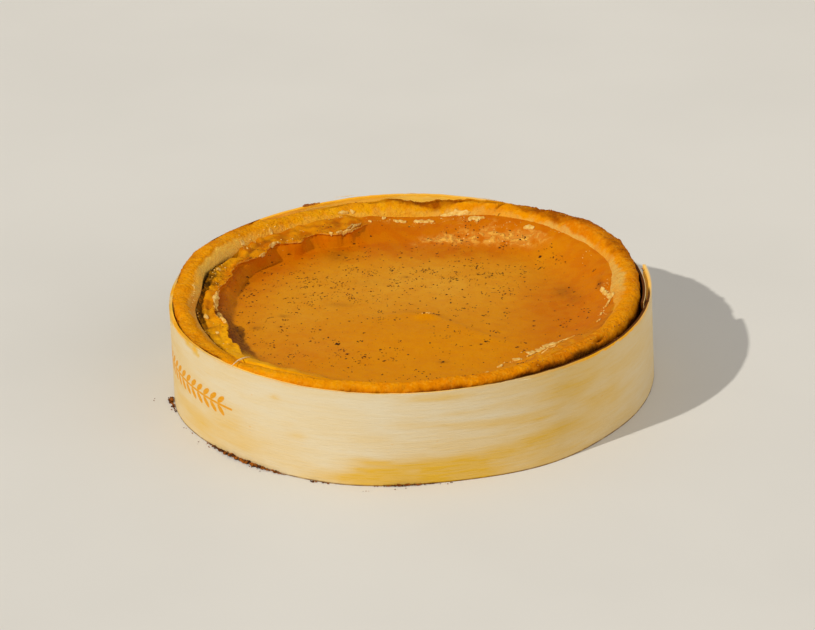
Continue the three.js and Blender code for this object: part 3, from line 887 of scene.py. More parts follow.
        # Dark line along the foot where the band meets the surface below: a painted contact shadow, its
        # strength varied by the seep streaks
        foot = d.times(d.ranged(strip[1], 0.25, 0.85, 0.8, 0.0), d.scaled(seep, 0.4, 1.0))
        dark = d.math("MAXIMUM", d.ranged(d.mask("scorched"), 0.03, 0.3), foot)
        d.coat(dark, self.scorch)
        d.set(Base_Color=d.colour, Roughness=0.55, Specular_IOR_Level=0.06, Specular_Tint=self.sheen)
        # The inner face glows a little, painted light where it is not darkened
        d.set(Emission_Color=d.mix(d.times(glazed, d.ranged(dark, 0.0, 0.5, 1.0, 0.0)), BLACK, self.glazed))
        d.set(Emission_Strength=self.shining_through)
        relief = d.bump(bands, 0.00004)
        d.set(Normal=d.bump(fibres, 0.00004, relief))
        return d.material


@dataclass(frozen=True)
class SpeckFinish:
    """Small dry matter of one colour that varies from bit to bit."""

    name: str
    light: Colour
    dark: Colour
    roughness: float = 0.7
    size: float = 0.004

    def material(self) -> Material:
        """Make the material."""
        d = Dressing(self.name)
        patch = d.patches(self.size, 0.38, 0.62, 1.0)
        d.set(Base_Color=d.mix(patch, self.light, self.dark), Roughness=self.roughness)
        d.set(Specular_IOR_Level=0.2, Specular_Tint=(1.0, 0.75, 0.4))
        d.set(Normal=d.bump(d.grain(0.0009, 0.6), 0.0003))
        return d.material


VANILLA = SpeckFinish("vanilla_seed", (0.1, 0.022, 0.001), (0.016, 0.004, 0.001), 0.5, 0.009)
BURNT = SpeckFinish("burnt_custard", (0.32, 0.09, 0.006), (0.05, 0.012, 0.003), 0.6, 0.002)
FLAKE = SpeckFinish("pale_flake", (0.78, 0.52, 0.15), (0.68, 0.36, 0.06), 0.6, 0.002)
TOASTED = SpeckFinish("toasted_crumb", (0.6, 0.25, 0.03), (0.28, 0.08, 0.012), 0.7, 0.004)
FIBRE = SpeckFinish("wood_fibre", (0.84, 0.7, 0.42), (0.78, 0.58, 0.28), 0.6, 0.004)


class GrowthTree(Graph):
    """A geometry node tree with named inputs, from the piece's own mesh to what grows on it."""

    def __init__(self, name: str, inputs: dict[str, object]) -> None:
        """Open a tree.

        Args:
            name: Name of the tree.
            inputs: Names of the inputs with their values, of which the kind follows.
        """
        super().__init__(bpy.data.node_groups.new(name, "GeometryNodeTree"))
        self.values = inputs
        self.tree.interface.new_socket("Geometry", in_out="INPUT", socket_type="NodeSocketGeometry")
        for label, value in inputs.items():
            self.tree.interface.new_socket(label, in_out="INPUT", socket_type=self.kind_of(value))
        self.tree.interface.new_socket("Geometry", in_out="OUTPUT", socket_type="NodeSocketGeometry")
        self.source = self.node("NodeGroupInput")
        self.end = self.node("NodeGroupOutput")

    @staticmethod
    def kind_of(value: object) -> str:
        """Name the socket type that a value needs."""
        if isinstance(value, Material):
            return "NodeSocketMaterial"
        return "NodeSocketInt" if isinstance(value, int) else "NodeSocketFloat"

    def given(self, label: str) -> Socket:
        """Socket of a named input."""
        return self.source.outputs[label]

    def number(self, name: str) -> Socket:
        """Read a number stored on the mesh."""
        return self.node("GeometryNodeInputNamedAttribute", {"Name": name}, data_type="FLOAT").outputs[0]

    def arrow(self, name: str) -> Socket:
        """Read a vector stored on the mesh."""
        node = self.node("GeometryNodeInputNamedAttribute", {"Name": name}, data_type="FLOAT_VECTOR")
        return node.outputs[0]

    def random(self, low: object, high: object, seed: int) -> Socket:
        """Draw a seeded random number for each point."""
        inputs = {2: low, 3: high, 8: self.seeded(seed)}
        return self.node("FunctionNodeRandomValue", inputs, data_type="FLOAT").outputs[1]

    def random_vector(self, low: tuple, high: tuple, seed: int) -> Socket:
        """Draw a seeded random vector for each point."""
        inputs = {0: low, 1: high, 8: self.seeded(seed)}
        return self.node("FunctionNodeRandomValue", inputs, data_type="FLOAT_VECTOR").outputs[0]

    def seeded(self, seed: int) -> Socket:
        """Seed of one draw: the tree's own seed and a number."""
        return self.plus(self.given("Seed"), float(seed))

    def close(self, geometry: Socket) -> None:
        """End the tree: real geometry with the material set."""
        real = self.node("GeometryNodeRealizeInstances", {0: geometry}).outputs[0]
        inputs = {"Geometry": real, "Material": self.given("Material")}
        self.put(self.end.inputs[0], self.node("GeometryNodeSetMaterial", inputs).outputs[0])

    def grow(self, name: str, mesh: Mesh) -> Piece:
        """Run the tree on a mesh.

        Args:
            name: Name of the piece.
            mesh: Mesh that the tree starts from.

        Returns:
            The piece, with a plain mesh and no modifier left on it.
        """
        piece = piece_of(name, mesh, None)
        modifier = piece.modifiers.new("growth", "NODES")
        modifier.node_group = self.tree
        for item in self.tree.interface.items_tree:
            if item.item_type == "SOCKET" and item.in_out == "INPUT" and item.name in self.values:
                modifier[item.identifier] = self.values[item.name]
        graph = bpy.context.evaluated_depsgraph_get()
        grown = bpy.data.meshes.new_from_object(
            piece.evaluated_get(graph), preserve_all_data_layers=True, depsgraph=graph
        )
        piece.modifiers.remove(modifier)
        piece.data = grown
        grown.name = name
        return piece


def finish_piece(piece: Piece, slot: str, node: str | None = None) -> None:
    """Parent a piece to the root body, hide the solid that it stands for and log its triangles.

    Args:
        piece: The finished piece.
        slot: Name of a material slot, which is only logged.
        node: Solid that the piece stands for, if any.
    """
    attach(piece, "root")
    if node:
        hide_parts(node)
    triangles = sum(len(face.vertices) - 2 for face in piece.data.polygons)
    LOG.info("%s: %d triangles, slot %s", piece.name, triangles, slot)


@dataclass
class VeneerBand:
    """The strip of veneer, wound a little more than once round the pastry."""

    inner_end: float = -8.0
    outer_end: float = 374.0
    tuck: float = 2.2
    tuck_ease: float = 36.0
    spring: float = 2.0
    spring_span: float = 28.0
    columns: int = 540
    rows: int = 28
    waver_count: float = 5.0
    waver_at: float = 10.0
    warp: float = 0.12
    fray: float = 0.16
    sprig_angle: float = -152.0
    # How far honey colour soaks down from the top and up from the foot, and the depth past which it is syrup
    top_fade: float = 7.0
    foot_fade: float = 5.0
    syrup_over: float = 1.9

    def offset(self, along: Array) -> Array:
        """Distance of the ply from the band's outline at angles along the strip."""
        eased = ease(along, self.outer_end - 360, self.outer_end - 360 + self.tuck_ease)
        free = np.maximum(0, 1 - (self.outer_end - along) / self.spring_span)
        return self.spring * free * free - self.tuck * (1 - eased)

    def guide(self) -> tuple[Mesh, Array, Array]:
        """Lay the line of the strip's outer top edge.

        Returns:
            The line, with how it leans, which way it faces and its run stored on it, and the angle
            and the run in millimetres at each of its columns.
        """
        along = np.linspace(self.inner_end, self.outer_end, self.columns)
        top = (
            FORM.band_height
            + FORM.band_waver * np.cos(np.radians(self.waver_count * (along - self.waver_at)))
        )
        line = polar(FORM.band_outer(along, FORM.band_height) + self.offset(along), along, top)
        noise = NoiseField(21)
        ragged = noise.at(line * [1, 1, 0], 2.2) * 0.6 + noise.at(line * [1, 1, 0] + 50, 7.0)
        line[:, 2] += self.fray * ragged
        steps = np.linalg.norm(np.diff(line[:, :2], axis=0), axis=1)
        run = np.concatenate([[0], np.cumsum(steps)]).astype(np.float32)
        mesh = wire_of("strip_guide", line, [(n, n + 1) for n in range(self.columns - 1)])
        paint(mesh, "lean", FORM.band_flare.at(along) * MM)
        paint(mesh, "run", run)
        layer = mesh.attributes.new("outward", "FLOAT_VECTOR", "POINT")
        layer.data.foreach_set("vector", polar(1.0, along, 0 * along).astype(np.float32).ravel())
        return mesh, along, run

    def tree(self, material: Material) -> GrowthTree:
        """Tree that raises the strip's sheet from its guide line and gives it its thickness."""
        inputs = {
            "Columns": self.columns,
            "Rows": self.rows,
            "Thickness": FORM.band_thickness * MM,
            "Warp": self.warp * MM,
            "Seed": 4,
            "Material": material,
        }
        t = GrowthTree("veneer_strip", inputs)
        sheet = t.node(
            "GeometryNodeMeshGrid", {"Vertices X": t.given("Columns"), "Vertices Y": t.given("Rows")}
        )
        place = t.parts(t.node("GeometryNodeInputPosition").outputs[0])
        share = t.plus(place[0], 0.5)
        up = t.plus(place[1], 0.5)
        index = t.math("ROUND", t.times(share, t.less(t.given("Columns"), 1.0)))

        def sample(value: Socket, kind: str) -> Socket:
            """Read the guide line at this column."""
            inputs = {0: t.source.outputs["Geometry"], 1: value, 2: index}
            return t.node("GeometryNodeSampleIndex", inputs, data_type=kind).outputs[0]

        crown = sample(t.node("GeometryNodeInputPosition").outputs[0], "FLOAT_VECTOR")
        outward = sample(t.arrow("outward"), "FLOAT_VECTOR")
        lean = t.times(sample(t.number("lean"), "FLOAT"), t.less(1.0, up))
        shift = t.stretched(outward, lean)
        level = t.joined(1.0, 1.0, up)
        spot = t.vector("ADD", t.vector("MULTIPLY", crown, level), shift)
        high = t.parts(spot)[2]
        run = sample(t.number("run"), "FLOAT")
        top = t.parts(crown)[2]
        below = t.over(t.less(top, high), MM)
        strip = t.joined(run, t.over(high, MM), below)
        named = t.node("GeometryNodeStoreNamedAttribute",
                       {"Geometry": sheet.outputs[0], "Name": "strip", "Value": strip},
                       data_type="FLOAT_VECTOR", domain="POINT").outputs[0]
        bent = t.node("GeometryNodeSetPosition", {"Geometry": named, "Position": spot}).outputs[0]
        waves = t.node("ShaderNodeTexNoise", {"Scale": 42.0, "Detail": 2.0}).outputs[0]
        swing = t.times(t.less(waves, 0.5), t.given("Warp"))
        facing = t.node("GeometryNodeInputNormal").outputs[0]
        push = t.stretched(facing, swing)
        bent = t.node("GeometryNodeSetPosition", {"Geometry": bent, "Offset": push}).outputs[0]
        back = t.node("GeometryNodeFlipFaces", {0: bent}).outputs[0]
        wall = t.node("GeometryNodeExtrudeMesh",
                      {"Mesh": back, "Offset Scale": t.given("Thickness"), "Individual": False})
        joined = t.node("GeometryNodeJoinGeometry")
        t.put(joined.inputs[0], wall.outputs[0])
        t.put(joined.inputs[0], bent)
        whole = t.node("GeometryNodeMergeByDistance", {0: joined.outputs[0], 2: 0.00002}).outputs[0]
        t.close(whole)
        return t

    def stain(self, mesh: Mesh, alongs: Array, runs: Array) -> None:
        """Paint where syrup soaked in, the wood browned, the inner face glows with painted light and the
        sprig is printed.

        Args:
            mesh: The strip's mesh.
            alongs: Angle at each column of the guide line.
            runs: Run along the strip at each column, in millimetres.
        """
        count = len(mesh.vertices)
        points = np.zeros(count * 3, dtype=np.float32)
        mesh.vertices.foreach_get("co", points)
        points = points.reshape(-1, 3) / MM - MIDDLE
        strip = np.zeros(count * 3, dtype=np.float32)
        mesh.attributes["strip"].data.foreach_get("vector", strip)
        run, height = strip.reshape(-1, 3)[:, 0], points[:, 2]
        angle = angle_of(points)
        along = np.interp(run, runs, alongs)
        inside = self.depth(points, along)
        below = FORM.band_height - height
        noise = NoiseField(33)
        rough = noise.layered(points * [0.35, 0.35, 1.6], 6.0)
        honey = HONEY_TOP.at(angle) * np.exp(-np.maximum(below, 0) / self.top_fade) + HONEY_ALL.at(angle)
        honey += 0.16 * np.exp(-height / self.foot_fade) + 0.1 * rough
        syrup = np.zeros(count)
        for stain in BAND_STAINS:
            turn = turn_between(angle, stain.angle)
            rise = height - stain.height - stain.slant * turn
            mark = stain.depth * hump(turn, stain.half_angle) * hump(rise, stain.half_height)
            mark *= 1.0 + 0.3 * rough
            honey += np.minimum(mark, 1.0)
            syrup += unit(mark - self.syrup_over)
        scorch = inside * INNER_SCORCH.at(angle) * fall(along, self.outer_end - 22, self.outer_end - 10)
        tucked = 0.6 * fall(along, 12, 26) * ease(height, 30.0, 44.0)
        paint(mesh, "honeyed", unit(honey))
        # The whole inner face gets the painted glow
        paint(mesh, "glazed", unit(inside * (0.92 + 0.25 * rough)))
        paint(mesh, "syruped", np.clip(np.maximum(syrup, INNER_SYRUP.at(angle) * inside), 0, 0.95))
        paint(mesh, "edged", np.clip(SYRUP_TOP.at(angle), 0, 0.95))
        paint(mesh, "scorched", np.clip(scorch + tucked * inside, 0, 0.9))
        paint(mesh, "printed", (1.0 - inside) * (np.abs(turn_between(angle, self.sprig_angle)) < 60))

    def depth(self, points: Array, along: Array) -> Array:
        """Say which points lie on the inner face: 1 there, 0 on the outer one."""
        outer = FORM.band_outer(along, points[:, 2]) + self.offset(along)
        return ease(outer - radius_of(points), 0.4, 1.1)

    def build(self) -> Piece:
        """Make the strip.

        Returns:
            The finished piece.
        """
        guide, alongs, runs = self.guide()
        sprig_along = float(np.interp(self.sprig_angle + 360, alongs, runs))
        material = VeneerFinish(sprig_along=sprig_along).material()
        piece = self.tree(material).grow("veneer_strip", guide)
        self.stain(piece.data, alongs, runs)
        finish_piece(piece, "veneer", "veneer_band")
        return piece


@dataclass(frozen=True)
class Stain:
    """Soft stain on the band: its middle, how it slants, its half sizes and its depth."""

    angle: float
    height: float
    half_angle: float
    half_height: float
    depth: float
    slant: float = 0.0


BAND_STAINS = (
    Stain(-86, 0, 16, 11, 1.45),
    Stain(-80, 7.5, 9, 3, 0.5),
    Stain(-60, 4, 13, 8, 0.26),
    Stain(-88, 9, 8, 1.3, 0.55, 0.04),
    Stain(-66, 12, 16, 3.6, 0.42, 0.06),
    Stain(-97, 11.8, 4.5, 0.7, 0.6, 0.05),
    Stain(-99, 8.4, 3.2, 0.6, 0.5, 0.05),
    Stain(-101, 13, 2.2, 0.5, 0.35),
    Stain(-83, 42.4, 9, 1.7, 0.5),
    Stain(-72, 27.5, 24, 1.6, 0.45, -0.1),
    Stain(-62, 24, 13, 1.1, 0.4, -0.12),
    Stain(-78, 33, 7, 1, 0.3, -0.05),
    Stain(-57, 15.8, 6, 3.4, 0.26),
    Stain(-47, 33, 20, 4.5, 0.3, -0.1),
    Stain(-36, 18, 16, 12, 0.2),
    Stain(-74, 20, 20, 5, 0.28, -0.05),
    Stain(-103, 3, 9, 5, 0.3),
    Stain(-121.4, 37.3, 1.2, 1.5, 0.4),
    Stain(-115.5, 20.6, 2.4, 2.2, 0.38),
    Stain(-118, 24.5, 1.5, 1, 0.2),
    Stain(-179.5, 44, 2.4, 2.4, 3.2),
    Stain(-169, 43.4, 2.4, 2.2, 3.2),
    Stain(-164.5, 43.9, 2.2, 1, 2.6),
    Stain(-153.5, 44.6, 4, 0.5, 2),
    Stain(-147.3, 43.6, 1, 1.4, 2.8),
    Stain(-150.5, 44, 1.6, 0.8, 1.5),
    Stain(-145.8, 41.8, 0.6, 0.7, 1.3),
    Stain(-140, 10, 20, 13, 0.42),
    Stain(-160, 26, 11, 18, 0.18),
)
# Stains along the band's top edge and over all its height, and how its inner face browned
SYRUP_TOP = Curve(
    0.1, ((23, 0.1, 5),),
    ((-32, 34, 1.0), (-92, 26, -0.2), (-179, 2.5, 1.1), (-159, 9, 1.1), (112, 60, 0.8), (50, 30, 0.4)),
)
HONEY_TOP = Curve(0.06, ((11, 0.06, 15),), ((-50, 60, 0.3), (110, 60, 0.5)))
HONEY_ALL = Curve(
    0.02, (), ((-44, 36, 0.36), (-10, 30, 0.22), (-172, 26, 0.25), (-140, 26, 0.1), (110, 90, 0.15))
)
INNER_SYRUP = Curve(0.15, ((13, 0.08, 20),), ((-20, 70, 0.6),))
INNER_SCORCH = Curve(0.0, (), ((-22, 74, 1.1),))


@dataclass(frozen=True)
class CrustPlaces:
    """Where the points of the crust lie, with the noise and the shares that its relief and masks use."""

    angle: Array
    station: Array
    rough: Array
    crags: Array
    grains: Array
    browned: Array
    folded: Array
    crack: Array


@dataclass
class PastryShell:
    """The rolled crust, from its flat underside over its crest down to the filling."""

    columns: int = 1080
    foot_chamfer: float = 1.5
    brow_turn: float = 1.0
    lumps: tuple[float, float] = (19.0, 0.45)
    crags: tuple[float, float] = (5.2, 0.4)
    grains: tuple[float, float] = (1.8, 0.2)
    # How far the crest lies over or under the solid's, as low relief
    sag: Curve = Curve(
        0.0, (),
        ((-58, 44, -2.0), (112, 34, 0.9), (145, 15, -1.5), (30, 6, -0.9), (45.5, 6, -0.9), (56, 8, -0.9))
    )
    # How far the rim bulges over the band's top
    spill: Curve = Curve(0.0, (), ((-174, 12, 0.2), (-150, 14, 1.1)))
    # How far the inner edge reaches over the filling, and how high it stands over the solid's
    reach_in: Curve = Curve(0.0, (), ((179, 13, 2.2), (2, 17, 3.8)))
    inner_lift: Curve = Curve(0.0, (), ((178, 22, 2.0), (2, 17, -1.5)))
    ambered: Curve = Curve(
        0.12, ((9, 0.1, 40), (21, 0.08, 3)),
        ((-82, 34, 0.45), (-42, 34, 0.55), (34, 34, 0.6), (100, 24, 0.2), (176, 44, -0.34))
    )
    # Where the browning ends along the profile, and how strong it is
    brown_edge: Curve = Curve(
        0.5, ((19, 0.1, 4), (7, 0.06, 60), (31, 0.07, 0)),
        (
            (50, 24, 1.02), (22, 16, 0.8), (86, 22, 1.22), (-48, 24, 0.2), (-150, 40, -0.1),
            (150, 30, -0.1)
        ),
    )
    brown_depth: Curve = Curve(
        0.22, ((13, 0.08, 2),),
        ((47, 24, 0.66), (86, 20, 0.78), (18, 16, 0.44), (-60, 16, 0.34), (-95, 30, 0.08)),
    )
    # How far the dark underside reaches up the shoulder: burnt pastry, and at the front painted shade in the
    # line between the crust and the band
    soot_and_shade_edge: Curve = Curve(
        0.0, ((17, 0.05, 3), (41, 0.04, 0)),
        ((-46, 24, 0.36), (-90, 26, 0.2), (-12, 18, 0.12), (40, 30, 0.12))
    )
    # Where the pale dough begins down the inner slope, and how pale it is
    pale_from: Curve = Curve(
        1.58, ((15, 0.05, 9),), ((4, 16, -0.4), (45, 22, 0.06), (-165, 26, -0.24), (-125, 20, -0.2))
    )
    paleness: Curve = Curve(
        0.3, ((15, 0.08, 9),),
        ((8, 20, 0.75), (42, 22, 0.7), (76, 12, 0.5), (165, 24, 0.4), (-165, 26, 0.4), (-70, 34, -0.25)),
    )
    # Where custard boiled over the inner slope: first and last angle
    boiled_over: tuple[float, float] = (-24.5, -7.0)
    # How squarely the inner slope turns down
    rounding: Curve = Curve(1.8, (), ((178, 24, 0.3), (-30, 30, 0.3)))
    # Where the shaded inner slope gets painted light
    shade: Curve = Curve(0.0, (), ((160, 32, 1.0),))
    yellowness: Curve = Curve(0.1, (), ((112, 40, 0.9), (-132, 40, 0.5), (88, 20, 0.7)))
    # Dark folds: angle, reach, depth and place along the profile
    folds: tuple[tuple[float, float, float, float], ...] = (
        (100.5, 4.5, 0.9, 0.98), (93, 4, 0.9, 1.04), (83, 6, 1.1, 1.00), (74, 6.5, 1.2, 1.12),
        (67.5, 3.5, 0.8, 1.05), (110, 5, 0.5, 0.95), (88.5, 2.5, 0.8, 1.15), (-33.5, 2.6, 1.6, 0.5),
    )

    def skin(self) -> tuple[TurnedSkin, Array]:
        """Lay the rings of the shell.

        Returns:
            The skin, and a number for each ring: below 0 under the brow, 0 to 1 over the shoulder,
            1 to 2 down the inner slope and above 2 down the hidden inner wall.
        """
        angle = np.arange(self.columns) * 360.0 / self.columns
        outer = FORM.shell_outer(angle, FORM.band_height)
        overhang = FORM.overhang.at(angle) + self.spill.at(angle)
        crest_radius, crest = FORM.crest(angle)
        low_brow = crest - FORM.shoulder_depth
        crest = crest + self.sag.at(angle)
        over_band = np.maximum(low_brow, FORM.band_height + FORM.band_waver + FORM.overhang_lift)
        brow = blend(low_brow, over_band, ease(overhang, 0.0, FORM.overhang_start))
        inner = FORM.rim_inner(angle) - self.reach_in.at(angle)
        edge = FORM.edge_height.at(angle) - FORM.clearance + self.inner_lift.at(angle)
        foot = (FORM.shell_outer(angle, 0 * angle) - self.foot_chamfer, 0 * angle)
        skin = TurnedSkin(angle)
        skin.ring(-3.0, 0.04 * foot[0], 0 * angle)
        skin.run(np.full(9, -3.0), (0.04 * foot[0], 0 * angle), foot)
        for height in (0.6, self.foot_chamfer, 8.0, 16.0, 24.0, 31.0, 35.5):
            level = np.full(angle.shape, height)
            skin.ring(-2.0, FORM.shell_outer(angle, level) - max(0, self.foot_chamfer - height), level)
        start = (FORM.shell_outer(angle, np.full(angle.shape, 35.5)), np.full(angle.shape, 35.5))
        skin.run(np.linspace(-1.6, -0.1, 8), start, (outer, brow - self.brow_turn))
        for share in np.linspace(0, 1, 15):
            turn = 0.5 * np.pi * share
            radius = crest_radius + (FORM.crest_inset + overhang) * np.cos(turn)
            skin.ring(share, radius, blend(brow, crest, np.sin(turn)))
        for share in np.linspace(0, 1, 18)[1:]:
            height = blend(crest, edge, share ** self.rounding.at(angle))
            skin.ring(1.0 + share, blend(crest_radius, inner, share), height)
        wall = (
            FORM.shell_wall(angle, np.full(angle.shape, FORM.crevice_floor)),
            0 * angle + FORM.crevice_floor
        )
        skin.run(np.linspace(2.1, 2.6, 7), (inner, edge), wall)
        deep = (FORM.shell_wall(angle, np.full(angle.shape, FORM.shell_floor)), 0 * angle + FORM.shell_floor)
        skin.run(np.full(2, 3.0), wall, deep)
        skin.run(np.full(3, 3.0), deep, (0.1 * deep[0], deep[1]))
        return skin, np.array(skin.stations)

    def places(self, points: Array, angle: Array, station: Array) -> CrustPlaces:
        """Work out what the relief and the masks share.

        Args:
            points: Grid of the crust's points in millimetres.
            angle: Angle of each point's column.
            station: Number of each point's ring, as skin gives it.

        Returns:
            The places of the points.
        """
        noise = NoiseField(5)
        crags = noise.layered(points + 90, self.crags[0]) * self.crags[1]
        grains = noise.layered(points + 40, self.grains[0], 2) * self.grains[1]
        rough = noise.layered(points + 15, 4.5)
        brown_edge = self.brown_edge.at(angle) + 0.22 * rough
        browned = fall(station, brown_edge - 0.22, brown_edge + 0.22)
        folded = np.zeros(points.shape[:2])
        for middle, reach, _, place in self.folds:
            folded += self.fold_line(angle, station, rough, place) * near(angle, middle, 0.6 * reach)
        crack = hump(turn_between(angle, 64.5 + 2.2 * (station - 1)), 0.35)
        crack *= ease(station, 0.6, 0.8) * fall(station, 1.5, 1.7)
        return CrustPlaces(angle, station, rough, crags, grains, browned, folded, crack)

    @staticmethod
    def fold_line(angle: Array, station: Array, rough: Array, place: float) -> Array:
        """Share of a wavering line along the rim at a place on the profile."""
        return hump(station - place - 0.07 * np.sin(np.radians(23 * angle)) - 0.14 * rough, 0.12)

    def relief(self, points: Array, at: CrustPlaces) -> Array:
        """Work out how far the points stand out: lumps, crumbs, folds and the crack.

        Args:
            points: Grid of the crust's points in millimetres.
            at: Their places.

        Returns:
            A height in millimetres for each point.
        """
        lumps = NoiseField(5).layered(points, self.lumps[0], 2) * self.lumps[1]
        crumbly = at.browned * unit(self.brown_depth.at(at.angle) + 0.15)
        push = lumps + at.crags * (0.35 + 1.1 * crumbly) + at.grains * (0.55 + 1.1 * crumbly)
        for middle, reach, depth, place in self.folds:
            line = self.fold_line(at.angle, at.station, at.rough, place)
            bulge = 0.5 * hump(at.station - place - 0.28, 0.16)
            push -= depth * near(at.angle, middle, 0.6 * reach) * (line - bulge)
        open_air = ease(at.station, -0.8, 0.3) * fall(at.station, 1.75, 2.2)
        return open_air * (push - 0.9 * at.crack) - ease(-at.station, 0.3, 1.0) * np.abs(at.grains)

    def masks(self, at: CrustPlaces) -> dict[str, Array]:
        """Work out the numbers from 0 to 1 that the pastry's finish reads, by the name of each."""
        angle, station, rough = at.angle, at.station, at.rough
        # Dark underside: burnt pastry, and painted shade where the crust meets the band at the front
        soot_and_shade = station - self.soot_and_shade_edge.at(angle) + 0.1 * rough + 0.05 * at.grains / self.grains[1]
        first, last = self.boiled_over
        wet_from = blend(1.12, 1.7, unit((angle - first) / (last - first))) + 0.1 * rough
        boiled = ease(station, wet_from, wet_from + 0.12) * ease(angle, first - 3, first)
        boiled *= fall(angle, last, last + 4)
        depth = self.brown_depth.at(angle)
        brown = depth * at.browned + 0.45 * fall(soot_and_shade, 0.0, 0.32) + 0.9 * boiled
        brown += 0.3 * unit(at.crags / self.crags[1] - 0.3) * depth + 0.6 * at.folded + 0.5 * at.crack
        streaks = NoiseField(5).layered(polar(110.0, angle, 2.5 * station) + 300, 2.6, 2)
        pale_from = self.pale_from.at(angle)
        slope = ease(station + 0.1 * rough + 0.14 * streaks, pale_from, pale_from + 0.24)
        gap = unit(FORM.crevice_width.at(angle))
        dark = 0.92 * fall(soot_and_shade, -0.22, 0.16) + 0.4 * at.crack + 0.45 * at.folded
        # The crevice wall and the line where the crust meets the custard are darkened as painted shade
        dark += 0.75 * gap * ease(station, 1.96, 2.15) + 0.05 * (1 - gap) * ease(station, 1.93, 2.05)
        dark += 0.5 * boiled * hump(station - wet_from - 0.35, 0.1)
        under = ease(-station, 1.5, 2.5)
        masks = {
            "browned": brown + under * 0.3,
            "pale": self.paleness.at(angle) * slope * (1 - 0.7 * at.browned) * (1 - boiled),
            "yellowed": self.yellowness.at(angle) * ease(station, 0.2, 1.0),
            "ambered": self.ambered.at(angle) * (1 - 0.8 * slope) + 0.1 * rough + 0.36 * streaks,
            # The shaded inner slope is lit with painted light
            "shaded": self.shade.at(angle) * ease(station + 0.1 * rough + 0.1 * streaks, 1.26, 1.58),
            "scorched": dark * (1 - 0.9 * under),
        }
        return {name: unit(values) for name, values in masks.items()}

    def build(self) -> Piece:
        """Make the crust.

        Returns:
            The finished piece.
        """
        skin, stations = self.skin()
        points = skin.grid()
        angle = np.broadcast_to(skin.angles, points.shape[:2])
        station = np.broadcast_to(stations[:, None], points.shape[:2])
        at = self.places(points, angle, station)
        points = points + TurnedSkin.outward(points) * self.relief(points, at)[..., None]
        points[..., 2] = np.maximum(points[..., 2], 0.0)
        mesh = TurnedSkin.mesh("crust", points, self.masks(at))
        piece = piece_of("crust", mesh, PastryFinish().material())
        finish_piece(piece, "pastry", "pastry_shell")
        return piece


@dataclass(frozen=True)
class SkinPlaces:
    """Where the points of the custard's skin lie, with the shares and the noise that its masks use."""

    points: Array
    radius: Array
    angle: Array
    station: Array
    torn: Array
    gap: Array
    bench: Array
    rough: Array
    fine: Array
    knots: Array

    def along(self, start: tuple[float, float], end: tuple[float, float], waver: float = 0.0) -> Array:
        """Share that rises at the start and falls at the end along the profile, there with a waver."""
        return fall(self.station + waver * self.rough, *end) * ease(self.station, *start)


